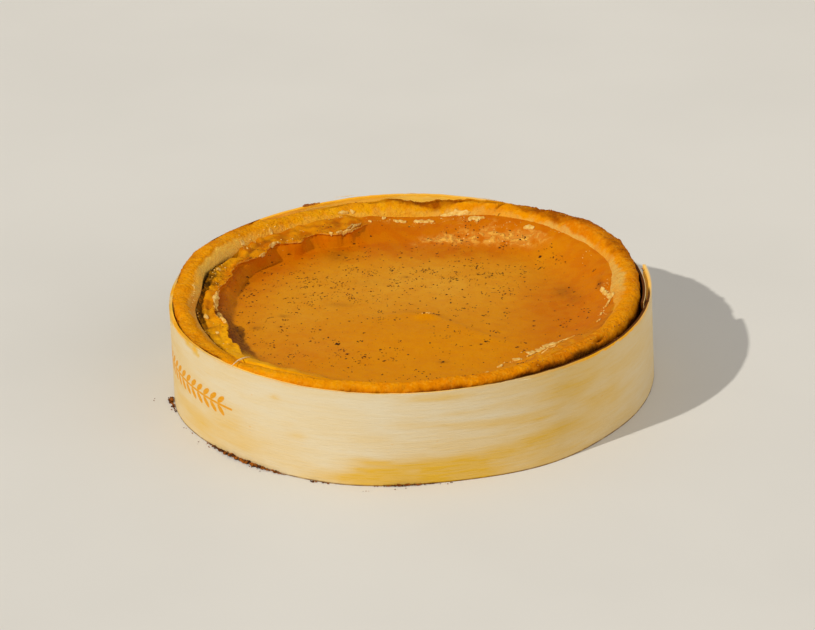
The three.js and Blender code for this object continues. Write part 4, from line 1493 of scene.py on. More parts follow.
@dataclass
class CustardFilling:
    """The set custard: a sunken smooth bowl, its torn skin's ledge on the left, and its hidden sides."""

    fine_columns: int = 400
    other_columns: int = 400
    fine_from: float = 94.0
    fine_to: float = 228.0
    cliff: Curve = Curve(1.7, (), ((-156, 30, 2.6), (128, 18, -0.9)))
    undercut: float = 0.5
    gap_fill: float = 0.9
    overlap: float = 1.4
    rim_slope: float = 1.5
    # How far the margin stands over the solid's, as low relief
    margin: Curve = Curve(0.0, (), ((-122, 32, 2.8), (-88, 20, 0.8)))
    bench: Curve = Curve(0.0, (), ((-43, 27, 4.4),))
    crease: tuple[tuple[float, float], ...] = (
        (-36, -27), (-26, -18.5), (-13, -10.5), (-5, -8.6), (7, -8.8), (14, -13.9), (23.4, -22.5), (34, -31),
        (42, -36), (54, -41),
    )
    right_fold: tuple[tuple[float, float], ...] = ((70, 36), (69, 26), (67, 9), (55, -8.3), (44, -17))
    blister: tuple[float, float, float] = (7.5, -11.0, 3.2)
    # Brown smudges in the skin, of which the first ones beside the crust on the right and the one under the
    # lip at the back left darken it as painted shade: middle, half sizes and depth
    smudges: tuple[tuple[float, float, float, float, float], ...] = (
        (92.8, -33.8, 2.2, 2.8, 0.65), (94.6, -29, 2.2, 2.8, 0.7), (96, -24, 2, 2.8, 0.65),
        (97, -19, 1.8, 2.4, 0.5), (90.9, 14.4, 1.4, 4.5, 0.6), (98.5, 6, 1.2, 3, 0.35),
        (90.5, -38.5, 2, 2.4, 0.45),
        (-33.2, 4.5, 6.5, 2.6, 0.28), (73.5, 18.5, 4.5, 6, 0.45), (79, 9, 4, 6, 0.3),
        (-73.1, -21.6, 2.6, 2, 0.55), (-60.2, -8.1, 2.6, 1.7, 0.5), (-36, 62.5, 5.5, 7, 0.45),
        (15.1, -59.6, 2.4, 1.2, 0.6), (-2.1, 37.1, 2.2, 1.2, 0.5), (38.7, 38.2, 2, 1.4, 0.55),
        (-61.3, -20.4, 1.6, 1, 0.4), (-20, 30, 9, 4, 0.12),
    )

    # Yellow patches: angle, reach, depth, where they start and end along the profile, and their waver
    yellows: tuple[tuple[float, float, float, tuple[float, float], tuple[float, float], float], ...] = (
        (-140, 19, 1.4, (-0.6, -0.1), (1.6, 2.3), 0), (-170, 22, 0.2, (-0.2, 0.2), (0.9, 1.3), 0),
        (-139.5, 7, 1.5, (0.5, 1.0), (2.3, 2.7), 0.1), (161, 12, 0.6, (-0.5, 0.1), (0.5, 0.9), 0),
    )
    # How pale the torn lip dried
    crispness: Curve = Curve(
        0.3, (), ((111, 6, 0.7), (137.5, 2.5, 0.6), (147, 2.5, 0.5), (179, 9, 0.7), (-164, 9, 0.5))
    )
    # Creases across the ledge: angle, radius, half angle, half width, slope per degree and depth
    creases: tuple[tuple[float, float, float, float, float, float], ...] = (
        (146, 94, 6, 0.9, -0.36, 0.9), (137.5, 95.8, 4, 1, -0.1, 0.7), (131.5, 94, 1.6, 3.4, -1.2, 0.6),
        (121, 91.5, 4.5, 1, 0.12, 0.6), (112, 95, 1.6, 3.6, -1, 0.4), (126, 97, 3, 0.9, 0.2, 0.45),
        (101, 96, 1.4, 3, -0.8, 0.4), (151, 97, 3, 1.2, -0.3, 0.8), (-172, 96.5, 5, 0.9, 0.25, 0.6),
        (-157, 98.5, 5, 0.8, 0.2, 0.5), (-147.5, 99.5, 1.6, 1.2, 0, 0.9),
    )

    def columns(self) -> Array:
        """Angles of the columns, closer together along the tear."""
        fine = np.linspace(self.fine_from, self.fine_to, self.fine_columns, endpoint=False)
        other = np.linspace(self.fine_to, self.fine_from + 360, self.other_columns, endpoint=False)
        return np.concatenate([fine, other])

    def lift(self, angle: Array, radius: Array, lip: Array) -> Array:
        """Height of the margin and of the bench at the right over the solid's top."""
        margin = self.margin.at(angle) * ease(radius, lip - 7.5, lip - 0.5)
        bench = self.bench.at(angle) * ease(radius, 74.0, 86.0) * (1 - 0.5 * ease(radius, 88.0, 100.0))
        return margin + bench

    def lip(self, angle: Array) -> Array:
        """Radius of the lip with its small rags."""
        torn = FORM.torn_share(angle)
        line = polar(90.0, angle, 0 * angle)
        noise = NoiseField(12)
        rags = 0.75 * noise.at(line, 3.6) + 0.5 * noise.at(line + 70, 1.6)
        whole = 0.35 * noise.at(line + 20, 9.0)
        return FORM.lip_radius(angle) + blend(whole, rags, torn)

    def skin(self) -> tuple[TurnedSkin, Array]:
        """Lay the rings of the filling.

        Returns:
            The skin, and a number for each ring: below 0 down the hidden side, 0 to 1 over the
            ledge, 1 to 2 down the lip's torn edge, 2 to 3 down the wall and above 3 on the floor.
        """
        angle = self.columns()
        torn = FORM.torn_share(angle)
        lip = self.lip(angle)
        crack = ease(FORM.crevice_width.at(angle), 0, 1)
        around = polar(95.0, angle, 0 * angle)
        wander = 0.6 * NoiseField(27).layered(around, 5.0)
        raised = self.lift(angle, FORM.custard_edge(angle), lip)
        edge_radius = FORM.custard_edge(angle) + (1 - crack) * (self.overlap + raised / self.rim_slope)
        chipped = 0.5 * NoiseField(28).layered(around, 2.4, 2)
        edge_radius += crack * (self.gap_fill + 1.2 * wander) + (1 - crack) * (0.8 * wander + chipped)
        edge = FORM.edge_height.at(angle) + 0.5 * wander
        foot = FORM.bowl_radius.at(angle)
        bottom = FORM.shell_floor + FORM.clearance
        heel = blend(edge - 3.0, FORM.crevice_floor + 0.5, crack)
        full = np.ones_like(angle)

        def side(z: Array) -> Array:
            """Radius of the hidden side at a height."""
            return FORM.shell_wall(angle, z) - FORM.clearance

        skin = TurnedSkin(angle)
        low = (side(bottom * full), bottom * full)
        waist = (side(FORM.crevice_floor * full), FORM.crevice_floor * full)
        neck = (np.minimum(side(heel), FORM.custard_edge(angle)), heel)
        skin.ring(-2.0, 0.1 * low[0], low[1])
        skin.run(np.full(3, -2.0), (0.1 * low[0], low[1]), low)
        skin.run(np.full(2, -1.5), low, waist)
        skin.run(np.full(1, -1.2), waist, neck)
        skin.run(np.linspace(-1.0, -0.2, 5), neck, (edge_radius, edge - 0.6))
        for share in np.linspace(0, 1, 15):
            radius = blend(edge_radius - 0.3, lip + 0.35, share)
            skin.ring(share, radius, FORM.custard_top(angle, radius, lip) + self.lift(angle, radius, lip))
        brim = FORM.brim_height(angle)
        drop = self.cliff.at(angle) * torn
        under = self.undercut * torn
        for n, (out, down) in enumerate([(0.0, 0.0), (-0.22, 0.06), (0.35, 0.24), (0.9, 0.5), (0.7, 0.78)]):
            radius = lip - 0.05 * n + under * out - 0.04 * n * torn
            skin.ring(1.2 + 0.15 * n, radius, brim - drop * down + self.lift(angle, radius, lip))
        for share in np.linspace(0, 1, 27)[1:]:
            radius = blend(lip - 0.3, foot, share**1.15)
            height = FORM.custard_top(angle, radius, lip)
            height -= drop * np.exp(-((lip - radius) / 5.0) ** 2) * (1 - share)
            height += self.lift(angle, radius, lip)
            skin.ring(2.0 + share, radius, height)
        floor_shares = np.concatenate([np.linspace(1, 0.06, 60)[1:], [0.035, 0.015]])
        for share in floor_shares:
            radius = foot * share
            height = FORM.custard_top(angle, radius, lip) + self.lift(angle, radius, lip)
            skin.ring(4.0 - share, radius, height)
        return skin, np.array(skin.stations)

    def fold_line(self, x: Array, y: Array, line: Sequence[tuple[float, float]], steep: bool) -> tuple:
        """Measure places against a fold line.

        Args:
            x: Places to the right.
            y: Places to the back.
            line: Points of the fold.
            steep: Whether the fold runs along y instead of x.

        Returns:
            The signed distance off the line, and a share that fades at its two ends.
        """
        knots = np.array(line, dtype=float)
        if steep:
            knots = knots[np.argsort(knots[:, 1])]
            off = x - np.interp(y, knots[:, 1], knots[:, 0])
            run = y
            ends = knots[0, 1], knots[-1, 1]
        else:
            off = y - np.interp(x, knots[:, 0], knots[:, 1])
            run = x
            ends = knots[0, 0], knots[-1, 0]
        fade = ease(run, ends[0], ends[0] + 18) * fall(run, ends[1] - 18, ends[1])
        return off, fade

    def relief(self, points: Array, station: Array) -> Array:
        """Work out small heights on the bowl: soft folds, the blister and slow ripples.

        Args:
            points: Grid of the skin's points in millimetres.
            station: Number of each point's ring.

        Returns:
            A height in millimetres for each point.
        """
        x, y = points[..., 0], points[..., 1]
        off, fade = self.fold_line(x, y, self.crease, False)
        wobble = NoiseField(8).at(points * [1, 1, 0], 9.0)
        off = off + 1.3 * wobble
        ridge = 0.5 * np.where(off > 0, hump(off, 3.0), hump(off, 8.0)) * (0.5 + 0.5 * ease(x, -14, 2))
        height = fade * ridge
        off, fade = self.fold_line(x, y, self.right_fold, True)
        off = off + 1.0 * wobble
        height += 0.36 * fade * np.where(off > 0, hump(off, 6.0), hump(off, 2.6))
        spot = np.hypot((x - self.blister[0]) / 1.6, y - self.blister[1])
        height += 1.6 * hump(spot, self.blister[2])
        ripples = NoiseField(9)
        flat = points * [1, 1, 0]
        height += 0.16 * ripples.layered(flat, 16.0, 2) + 0.05 * ripples.at(flat + 44, 4.2)
        height += 0.45 * self.froth_share(x, y) * ripples.layered(flat + 66, 3.0)
        radius, turn = np.hypot(x, y), np.degrees(np.arctan2(y, x))
        shore = ease(radius, 84, 92) * (near(turn, 2, 34) + 0.5 * near(turn, 78, 40))
        height += 0.55 * shore * ripples.layered(flat + 120, 5.0)
        bench = self.bench.at(turn) / self.bench.swells[0][2] * ease(radius, 76, 82)
        height += bench * (1.05 * ripples.layered(flat + 150, 6.0) + 0.5 * ripples.at(flat + 160, 2.2))
        strip = self.margin.at(turn) / self.margin.swells[0][2] * ease(radius, 92, 96)
        height += unit(strip) * (0.9 * ripples.layered(flat + 180, 6.0) + 0.3 * ripples.at(flat + 190, 2.0))
        whole = np.maximum(unit(strip), 1 - FORM.torn_share(turn)) * ease(station, 0.0, 0.4)
        return height * np.maximum(ease(station, 2.0, 2.4), whole)

    @staticmethod
    def froth_share(x: Array, y: Array) -> Array:
        """Share of the bubbly band along the back of the bowl."""
        turn = np.degrees(np.arctan2(y, x))
        middle = 93.6 - 0.44 * (turn - 50.0)
        ends = ease(turn, 42, 52) * fall(turn, 80, 92)
        return ends * hump(np.hypot(x, y) - middle, 4.4)

    def ledge_relief(self, points: Array, station: Array, torn: Array) -> Array:
        """Work out small heights on the ledge: soft lumps, a dip beside the lip and the lip's curl.

        Args:
            points: Grid of the skin's points in millimetres.
            station: Number of each point's ring.
            torn: Share of the torn skin at each point.

        Returns:
            A height in millimetres for each point.
        """
        noise = NoiseField(17)
        flat = points * [1, 1, 0]
        on_ledge = ease(station, -0.2, 0.15) * fall(station, 0.92, 1.1) * torn
        height = on_ledge * (1.0 * noise.layered(flat, 8.0, 2) + 0.34 * noise.at(flat + 31, 2.4))
        turn = angle_of(points)
        block = near(turn, 166.5, 5.0) * hump(station - 0.12, 0.26)
        height += block * (1.3 + 1.4 * noise.layered(flat + 88, 2.6)) * torn
        hole = near(turn, 154.5, 4.2) * hump(station - 0.02, 0.22)
        height -= 2.4 * hole * torn
        groove = near(turn, -178, 24) * hump(station - 0.17, 0.17)
        height -= 1.7 * groove * ease(station, -0.15, 0.02)
        height -= 1.15 * torn * self.creased(points)
        height -= 0.75 * torn * hump(station - 0.7, 0.2) * (1 + 0.6 * noise.at(flat + 71, 9.0))
        curl = torn * hump(station - 1.08, 0.16)
        return height + 0.55 * curl * (0.9 + 0.8 * noise.at(flat + 12, 5.0))

    def creased(self, points: Array) -> Array:
        """Share of the creases across the ledge."""
        radius = radius_of(points)
        turn = angle_of(points)
        share = np.zeros_like(radius)
        for angle, middle, half_angle, half_radius, slope, depth in self.creases:
            off = turn_between(turn, angle)
            share += depth * hump(off, half_angle) * hump(radius - middle - slope * off, half_radius)
        return unit(share)

    def places(self, points: Array, angle: Array, station: Array) -> SkinPlaces:
        """Work out what the masks share.

        Args:
            points: Grid of the skin's points in millimetres.
            angle: Angle of each point's column.
            station: Number of each point's ring, as skin gives it.

        Returns:
            The places of the points.
        """
        noise = NoiseField(14)
        flat = points * [1, 1, 0]
        radius, rough = radius_of(points), noise.layered(flat, 7.0)
        bench = self.bench.at(angle) / self.bench.swells[0][2] * ease(radius + 2.0 * rough, 77, 82)
        torn, gap = FORM.torn_share(angle), unit(FORM.crevice_width.at(angle))
        fine, knots = noise.layered(flat + 55, 2.2), noise.layered(flat + 77, 4.0)
        return SkinPlaces(points, radius, angle, station, torn, gap, bench, rough, fine, knots)

    def bowl_masks(self, at: SkinPlaces) -> dict[str, Array]:
        """Work out the numbers for the bowl: its smooth film, partly a painted sheen, its deeper colour, with
        painted shade under the lip, and its froth.
        """
        x, y = at.points[..., 0], at.points[..., 1]
        off, fade = self.fold_line(x, y, self.crease, False)
        front = fall(off + 1.5 * at.rough, -4.0, 3.0) * np.maximum(fade, 0.5)
        # Beige film, partly a painted sheen; the skin in front of the crease faces the viewer and gets less
        # of it
        film_sheen = blot(x, y, (8, 26, 56, 33)) * (1 - 0.9 * front)
        film_sheen += 0.5 * blot(x, y, (-58, -8, 18, 26)) + 0.35 * blot(x, y, (-46, -44, 26, 14))
        film_sheen *= 1 - 0.9 * hump(np.hypot((x - self.blister[0] + 3) / 2.0, y - self.blister[1]), 5.0)
        right = 0.75 * ease(x - 0.12 * y, 40, 84)
        back = 0.95 * ease(y + 4 * at.rough, 46, 76)
        # Under the lip at the back left the skin is darkened as painted shade
        left = ease(at.radius, 60, 84) * near(at.angle, 134, 46)
        deep = np.maximum.reduce([right, back, left, 0.35 * blot(x, y, (-50, -48, 30, 22))])
        deep += 0.3 * hump(np.hypot(x - 62, (y - 4) / 1.6), 16)
        # Below the torn lip the skin is darkened as painted shade
        below_lip = at.torn * at.along((1.2, 1.5), (2.2, 3.05))
        lumps = ease(at.radius, 86, 93) * near(at.angle, 2, 34) * ease(at.rough, -0.3, 0.4)
        deep = np.maximum.reduce([deep, below_lip, lumps]) * (1 - 0.7 * at.bench)
        deep_bench = 0.5 * at.bench * ease(-at.rough, -0.3, 0.5)
        froth = self.froth_share(x, y) * ease(at.station, 1.6, 2.1)
        froth += 0.5 * near(at.angle, 76, 26) * hump(at.radius - 95.5, 3.0) * ease(at.fine, 0.0, 0.6)
        return {"filmed": film_sheen, "deepened": np.maximum(deep, deep_bench), "frothed": froth}

    def ledge_masks(self, at: SkinPlaces) -> dict[str, Array]:
        """Work out the numbers for the torn skin's ledge, its crevice, groove and hole darkened as painted
        shade, and its dried lip.
        """
        angle, station, rough, fine = at.angle, at.station, at.rough, at.fine
        ledge = (0.15 + 0.85 * at.torn) * at.along((-0.6, 0.0), (1.12, 1.4))
        yellow = 0.4 * at.bench * ease(fine + rough, -0.3, 0.5)
        for middle, reach, depth, start, end, waver in self.yellows:
            yellow += depth * near(angle, middle, reach) * at.along(start, end, waver)
        yellow += 0.8 * near(angle, -5, 11) * fall(station, 0.35, 0.7) * ease(fine, -0.5, 0.1)
        burrow = near(angle, 168, 12) * fall(station + 0.3 * rough, 0.45, 0.85)
        seam = unit(1.5 * near(angle, -179, 19)) * fall(station + 0.1 * rough + 0.05 * fine, 0.28, 0.4)
        # Painted shade in the crevice, the groove by the seam and the hole, with dark lumps in the burrow;
        # the hidden side below is darkened too
        murk_and_shade = np.maximum.reduce([
            0.9 * at.gap * fall(station, -0.05, 0.12),
            0.8 * burrow * ease(at.knots, -0.1, 0.5),
            seam * (0.72 + 0.28 * ease(fine, -0.5, 0.3)),
            1.2 * near(angle, 154.5, 4.5) * hump(station, 0.24),
        ])
        crisp = at.torn * hump(station - 1.22, 0.1) * self.crispness.at(angle)
        crumbled = at.torn * np.maximum(hump(station - 1.06, 0.3), burrow)
        return {
            "ledge": ledge,
            "yellow": yellow,
            "murky": murk_and_shade + fall(station, -1.0, -0.4),
            "crisp": crisp * ease(fine + 0.6 * rough, -0.7, 0.2),
            "crumbled": crumbled + 0.5 * at.gap * fall(station, 0.0, 0.4),
        }

    def stain_masks(self, at: SkinPlaces) -> dict[str, Array]:
        """Work out the numbers for the shore beside the crust, darkened partly as painted shade, and for the
        brown smudges, with painted shade in the ledge's creases and a painted shadow inside the lip.
        """
        # Shore beside the crust on the right, darkened partly as painted shade in the fold there
        shore = (1 - at.gap) * at.along((-0.9, -0.3), (0.0, 0.2)) * (1 - at.torn)
        shore *= unit(0.1 + 0.9 * at.rough) * near(at.angle, -12, 24)
        # The ledge's creases are darkened as painted shade
        smudge = 0.62 * at.torn * self.creased(at.points) * fall(at.station, 1.0, 1.3)
        for *spot, depth in self.smudges:
            smudge += depth * blot(at.points[..., 0], at.points[..., 1], spot)
        smudge += 0.22 * at.torn * ease(-at.fine - at.rough, 0.1, 0.9) * at.along((0.0, 0.2), (0.9, 1.1))
        # Painted shadow of the torn lip on the skin inside it, strongest at the front left
        off_lip = FORM.lip_radius(at.angle) - at.radius + 0.8 * at.rough
        inside_lip = ease(at.station, 1.3, 1.8) * fall(off_lip, 8.0, 10.5)
        dark = 0.9 * unit(1.5 * near(at.angle, -158, 17)) + 0.22 * near(at.angle, 158, 14)
        return {"shore": np.minimum(shore, 0.9), "smudged": np.minimum(smudge + dark * inside_lip, 0.9)}

    def masks(self, points: Array, angle: Array, station: Array) -> dict[str, Array]:
        """Work out the numbers from 0 to 1 that the custard's finish reads, by the name of each."""
        at = self.places(points, angle, station)
        masks = {**self.bowl_masks(at), **self.ledge_masks(at), **self.stain_masks(at)}
        return {name: unit(values) for name, values in masks.items()}

    @staticmethod
    def softened(points: Array, station: Array) -> Array:
        """Heights with the turn at the lip rounded off where the skin isn't torn."""
        radius = radius_of(points)
        height = points[..., 2].copy()
        whole = 1 - FORM.torn_share(np.degrees(np.arctan2(points[-20, :, 1], points[-20, :, 0])))
        open_rings = np.nonzero(station[:, 0] >= 0.0)[0]
        for column in np.nonzero(whole > 0.02)[0]:
            way = radius[open_rings, column][::-1]
            level = height[open_rings, column][::-1]
            eased = sum(np.interp(way + step, way, level) for step in range(-3, 4)) / 7
            window = ease(way, 80.0, 88.0) * whole[column] * fall(way, way[-1] - 1.2, way[-1] - 0.2)
            height[open_rings, column] = blend(level, eased, window)[::-1]
        return height

    def build(self) -> Piece:
        """Make the filling.

        Returns:
            The finished piece.
        """
        skin, stations = self.skin()
        points = skin.grid()
        angle = np.broadcast_to(skin.angles, points.shape[:2])
        station = np.broadcast_to(stations[:, None], points.shape[:2])
        points[..., 2] += self.relief(points, station)
        points[..., 2] += self.ledge_relief(points, station, FORM.torn_share(angle))
        points[..., 2] = self.softened(points, station)
        mesh = TurnedSkin.mesh("custard_skin", points, self.masks(points, angle, station))
        piece = piece_of("custard_filling", mesh, CustardFinish().material())
        finish_piece(piece, "custard", "custard")
        return piece


class Ground:
    """What lies on top at a place, found by looking straight down on finished pieces."""

    def __init__(self, pieces: Sequence[Piece]) -> None:
        """Prepare the pieces for looking down on."""
        graph = bpy.context.evaluated_depsgraph_get()
        self.trees = [BVHTree.FromObject(piece, graph) for piece in pieces]

    def height(self, x: float, y: float) -> float:
        """Height of the highest surface at a place, in millimetres."""
        start = Vector(placed(np.array([x, y, 90.0])))
        hits = [tree.ray_cast(start, Vector((0.0, 0.0, -1.0)))[0] for tree in self.trees]
        return max((hit.z / MM for hit in hits if hit is not None), default=0.0)

    def heights(self, places: Array) -> Array:
        """Heights of the highest surface at many places."""
        return np.array([self.height(x, y) for x, y in np.asarray(places)[:, :2]])


def row_of_points(name: str, points: Array, bulks: Array) -> Mesh:
    """Make a mesh of bare points that carry their size.

    Args:
        name: Name of the mesh.
        points: Places in millimetres round the pastry's middle.
        bulks: Half size of what grows on each point, in millimetres.

    Returns:
        The mesh, with the sizes under the name bulk.
    """
    mesh = wire_of(name, points)
    paint(mesh, "bulk", np.asarray(bulks) * MM)
    return mesh


@dataclass
class VanillaSpecks:
    """Vanilla seeds in the custard's skin: strewn ones, small clumps and single large ones."""

    strewn: int = 2100
    clumps: int = 150
    reach: float = 95.0
    smallest: float = 0.15
    largest: float = 0.55
    seed: int = 3
    # Large ones: x, y and half size
    single: tuple[tuple[float, float, float], ...] = (
        (-59.6, 60.9, 0.65), (-79.3, 35.7, 0.7), (-42.7, -24.7, 0.5), (-34.5, -40.4, 1), (-29.6, -51, 0.8),
        (-21.9, -29.5, 0.55), (-12.3, -58.3, 0.7), (-61.3, -20.4, 0.5), (-73.4, -39.2, 0.6),
        (-58.2, -12.6, 0.45),
        (63.5, 57.2, 0.75), (88.7, 29.2, 0.7), (90.5, 15.1, 0.6), (58.6, -14, 0.6), (58.4, -19.9, 0.6),
        (75.3, 3.7, 0.5), (49.8, -44, 0.7), (54.1, -39.7, 0.5), (15.1, -59.6, 0.6), (78.7, 16.5, 0.5),
        (-31.6, 59.5, 0.6), (-60, 12, 0.5), (-21, 9, 0.5), (-5, 60, 0.5), (0.5, 60, 0.5),
        (-26, 58, 0.5), (-28, 75, 0.6), (44, 92, 0.5), (13, 65, 0.6), (44, 70, 0.55),
        (19, -16, 0.5), (33, -42, 0.6), (76, -13, 0.5), (-14, -47, 0.5), (-31, -48, 0.5),
    )

    @staticmethod
    def thickness_of(x: Array, y: Array) -> Array:
        """Share of the seeds that lie at places: clouds of them, thickest at the left and the back."""
        flat = np.stack([x, y, 0 * x], axis=-1)
        noise = NoiseField(14)
        clouds = noise.layered(flat + 9, 17.0) + 0.8 * noise.layered(flat + 77, 4.0, 2)
        share = 0.25 + 1.1 * unit(clouds + 0.1)
        share += 1.3 * blot(x, y, (-30, 24, 24, 20))
        share += 1.0 * blot(x, y, (18, 36, 34, 16))
        share += 0.7 * blot(x, y, (-24, -50, 26, 14))
        share += 0.4 * blot(x, y, (-66, 6, 16, 30))
        share *= 1 - 0.35 * ease(x, 25, 60) * fall(y, 20, 45)
        return unit(share / 2.6)

    def drawn(self, draw: np.random.Generator, count: int) -> Array:
        """Draw places on the custard by the share of the seeds there."""
        radius = self.reach * np.sqrt(draw.random(4 * count))
        spots = polar(radius, 360.0 * draw.random(4 * count), 0.0)
        kept = draw.random(4 * count) < self.thickness_of(spots[:, 0], spots[:, 1])
        return spots[kept][:count]

    def guide(self, ground: Ground) -> Mesh:
        """Points of all the seeds with their sizes."""
        draw = np.random.default_rng(self.seed)
        span = self.largest - self.smallest
        spots = [self.drawn(draw, self.strewn)]
        bulks = [self.smallest + span * draw.random(len(spots[0])) ** 2.6]
        for middle in self.drawn(draw, self.clumps):
            count = int(draw.integers(3, 9))
            spots.append(middle + draw.normal(0, 1, (count, 3)) * [1.3, 0.9, 0])
            bulks.append(self.smallest + 0.8 * span * draw.random(count))
        for x, y, bulk in self.single:
            spots.append(
                np.array([[x, y, 0.0], [x + bulk, y + 0.4 * bulk, 0.0], [x - 0.6 * bulk, y - 0.5 * bulk, 0]])
            )
            bulks.append(bulk * np.array([1.0, 0.55, 0.6]))
        points, bulk = np.concatenate(spots), np.concatenate(bulks)
        points[:, 2] = ground.heights(points) + 0.02
        return row_of_points("vanilla_specks", points, bulk)

    def build(self, ground: Ground) -> Piece:
        """Lay the seeds on the custard."""
        tree = ClumpTree("vanilla_seed", VANILLA.material(), self.seed, ClumpForm(0.3, 0.1, 1, 1.7))
        piece = tree.grow("vanilla_specks", self.guide(ground))
        finish_piece(piece, "custard")
        return piece


@dataclass(frozen=True)
class Flake:
    """One pale flake: the line along its middle, its width, how ragged it is and how far it stands up."""

    line: tuple[tuple[float, float], ...]
    width: float
    ragged: float = 0.45
    stand: float = 0.0


FLAKES = (
    Flake(((28.8, 91.8), (31.5, 92.4), (34.5, 92), (37, 90.8)), 5.6, 0.6),
    Flake(((14.8, 99.4), (22.3, 98.7), (29.7, 97.2)), 2, 0.3),
    Flake(((1.7, 95), (5, 95.6), (8.5, 95.4), (11.8, 94.4)), 3, 0.7),
    Flake(((-8.6, 95.6), (-5.4, 95.6), (-2, 95.2)), 2.8, 0.7),
    Flake(((-14, 97.4), (-12.2, 97)), 2.8),
    Flake(((-21, 92.2), (-19.2, 92)), 1.8),
    Flake(((-36, 96), (-33.4, 97.2), (-31, 97.2)), 1.7, 0.8),
    Flake(((-30, 98.4), (-27.6, 98.2)), 1.6),
    Flake(((55.8, 79.6), (58.4, 79.4), (61.2, 78.2)), 2.6),
    Flake(((91.4, 9.6), (92.2, 6), (93.2, 2.5), (94.2, -0.6)), 2, 0.6),
    Flake(((94.6, 0.8), (95.4, -2.6), (95, -6)), 3.2, 0.5),
    Flake(((94.8, -6), (94, -8.4), (93.2, -10)), 1.8, 0.6),
    Flake(((92.8, -11.4), (92.4, -12.8)), 1.9),
    Flake(((90.3, -17.6), (89.8, -20)), 1.6),
    Flake(((87.6, -29), (89.5, -26.8)), 1.2),
    Flake(((77, -39), (73.6, -40), (70.8, -40.6)), 2.8, 0.9),
    Flake(((71, -41.2), (67, -42.6), (64.4, -44.2), (62, -46.4)), 4.8, 1),
    Flake(((62.4, -45.6), (60.4, -48), (57.6, -50.6), (56.2, -53.2)), 5.6, 1),
    Flake(((56.4, -52.6), (54.4, -55.6)), 2.6, 0.9),
    Flake(((50.8, -56.4), (48.1, -58.2)), 4.4),
    Flake(((43, -62.6), (40.2, -65.2)), 2.2),
    Flake(((36.2, -70.6), (31.4, -75)), 2),
    Flake(((60.5, -66), (64.5, -63.8), (67.5, -62.8)), 1.4, 0.7),
    Flake(((-24.4, 88), (-26.3, 84.2), (-27.8, 80.9), (-29.2, 77.9)), 1.1, 0.4, 0.6),
    Flake(((-29.4, 77), (-32, 75.6), (-36.6, 73.8)), 0.7, 0.4, 0.5),
    Flake(((-27.8, 84), (-29.6, 80.6), (-31.6, 77.8)), 0.5, 0.4, 0.5),
    Flake(((-39.8, 74.6), (-38.6, 73.4)), 1.7, 0.4, 0.3),
    Flake(((-69.2, 57.4), (-67.6, 60), (-66.2, 61.6), (-63.8, 64.6)), 1.1, 0.4, 0.5),
    Flake(((-66, 62.2), (-64.2, 64.2)), 2, 0.4, 0.5),
    Flake(((-73.6, 46.8), (-71, 49.6)), 1.3, 0.4, 0.3),
    Flake(((-92.4, 2.6), (-92.8, -3), (-92.4, -9.4)), 2.9, 0.35, 0.4),
    Flake(((-91.2, -13.4), (-90.2, -17.4), (-88.4, -24), (-86.8, -30.4)), 4.2, 0.35, 0.5),
    Flake(((-93, -12), (-91.8, -13.6)), 2),
    Flake(((-97.2, -20.8), (-95.6, -22.8)), 2.4),
    Flake(((-93.4, 27.2), (-92.2, 29.2)), 2.2, 0.5, 0.3),
    Flake(((-83, 57.4), (-81.4, 59.4)), 1.6, 0.6),
    Flake(((-69.4, 72.6), (-68, 74)), 1.9, 0.6),
    Flake(((-90.8, -38.6), (-90, -40.4)), 1.4),
)


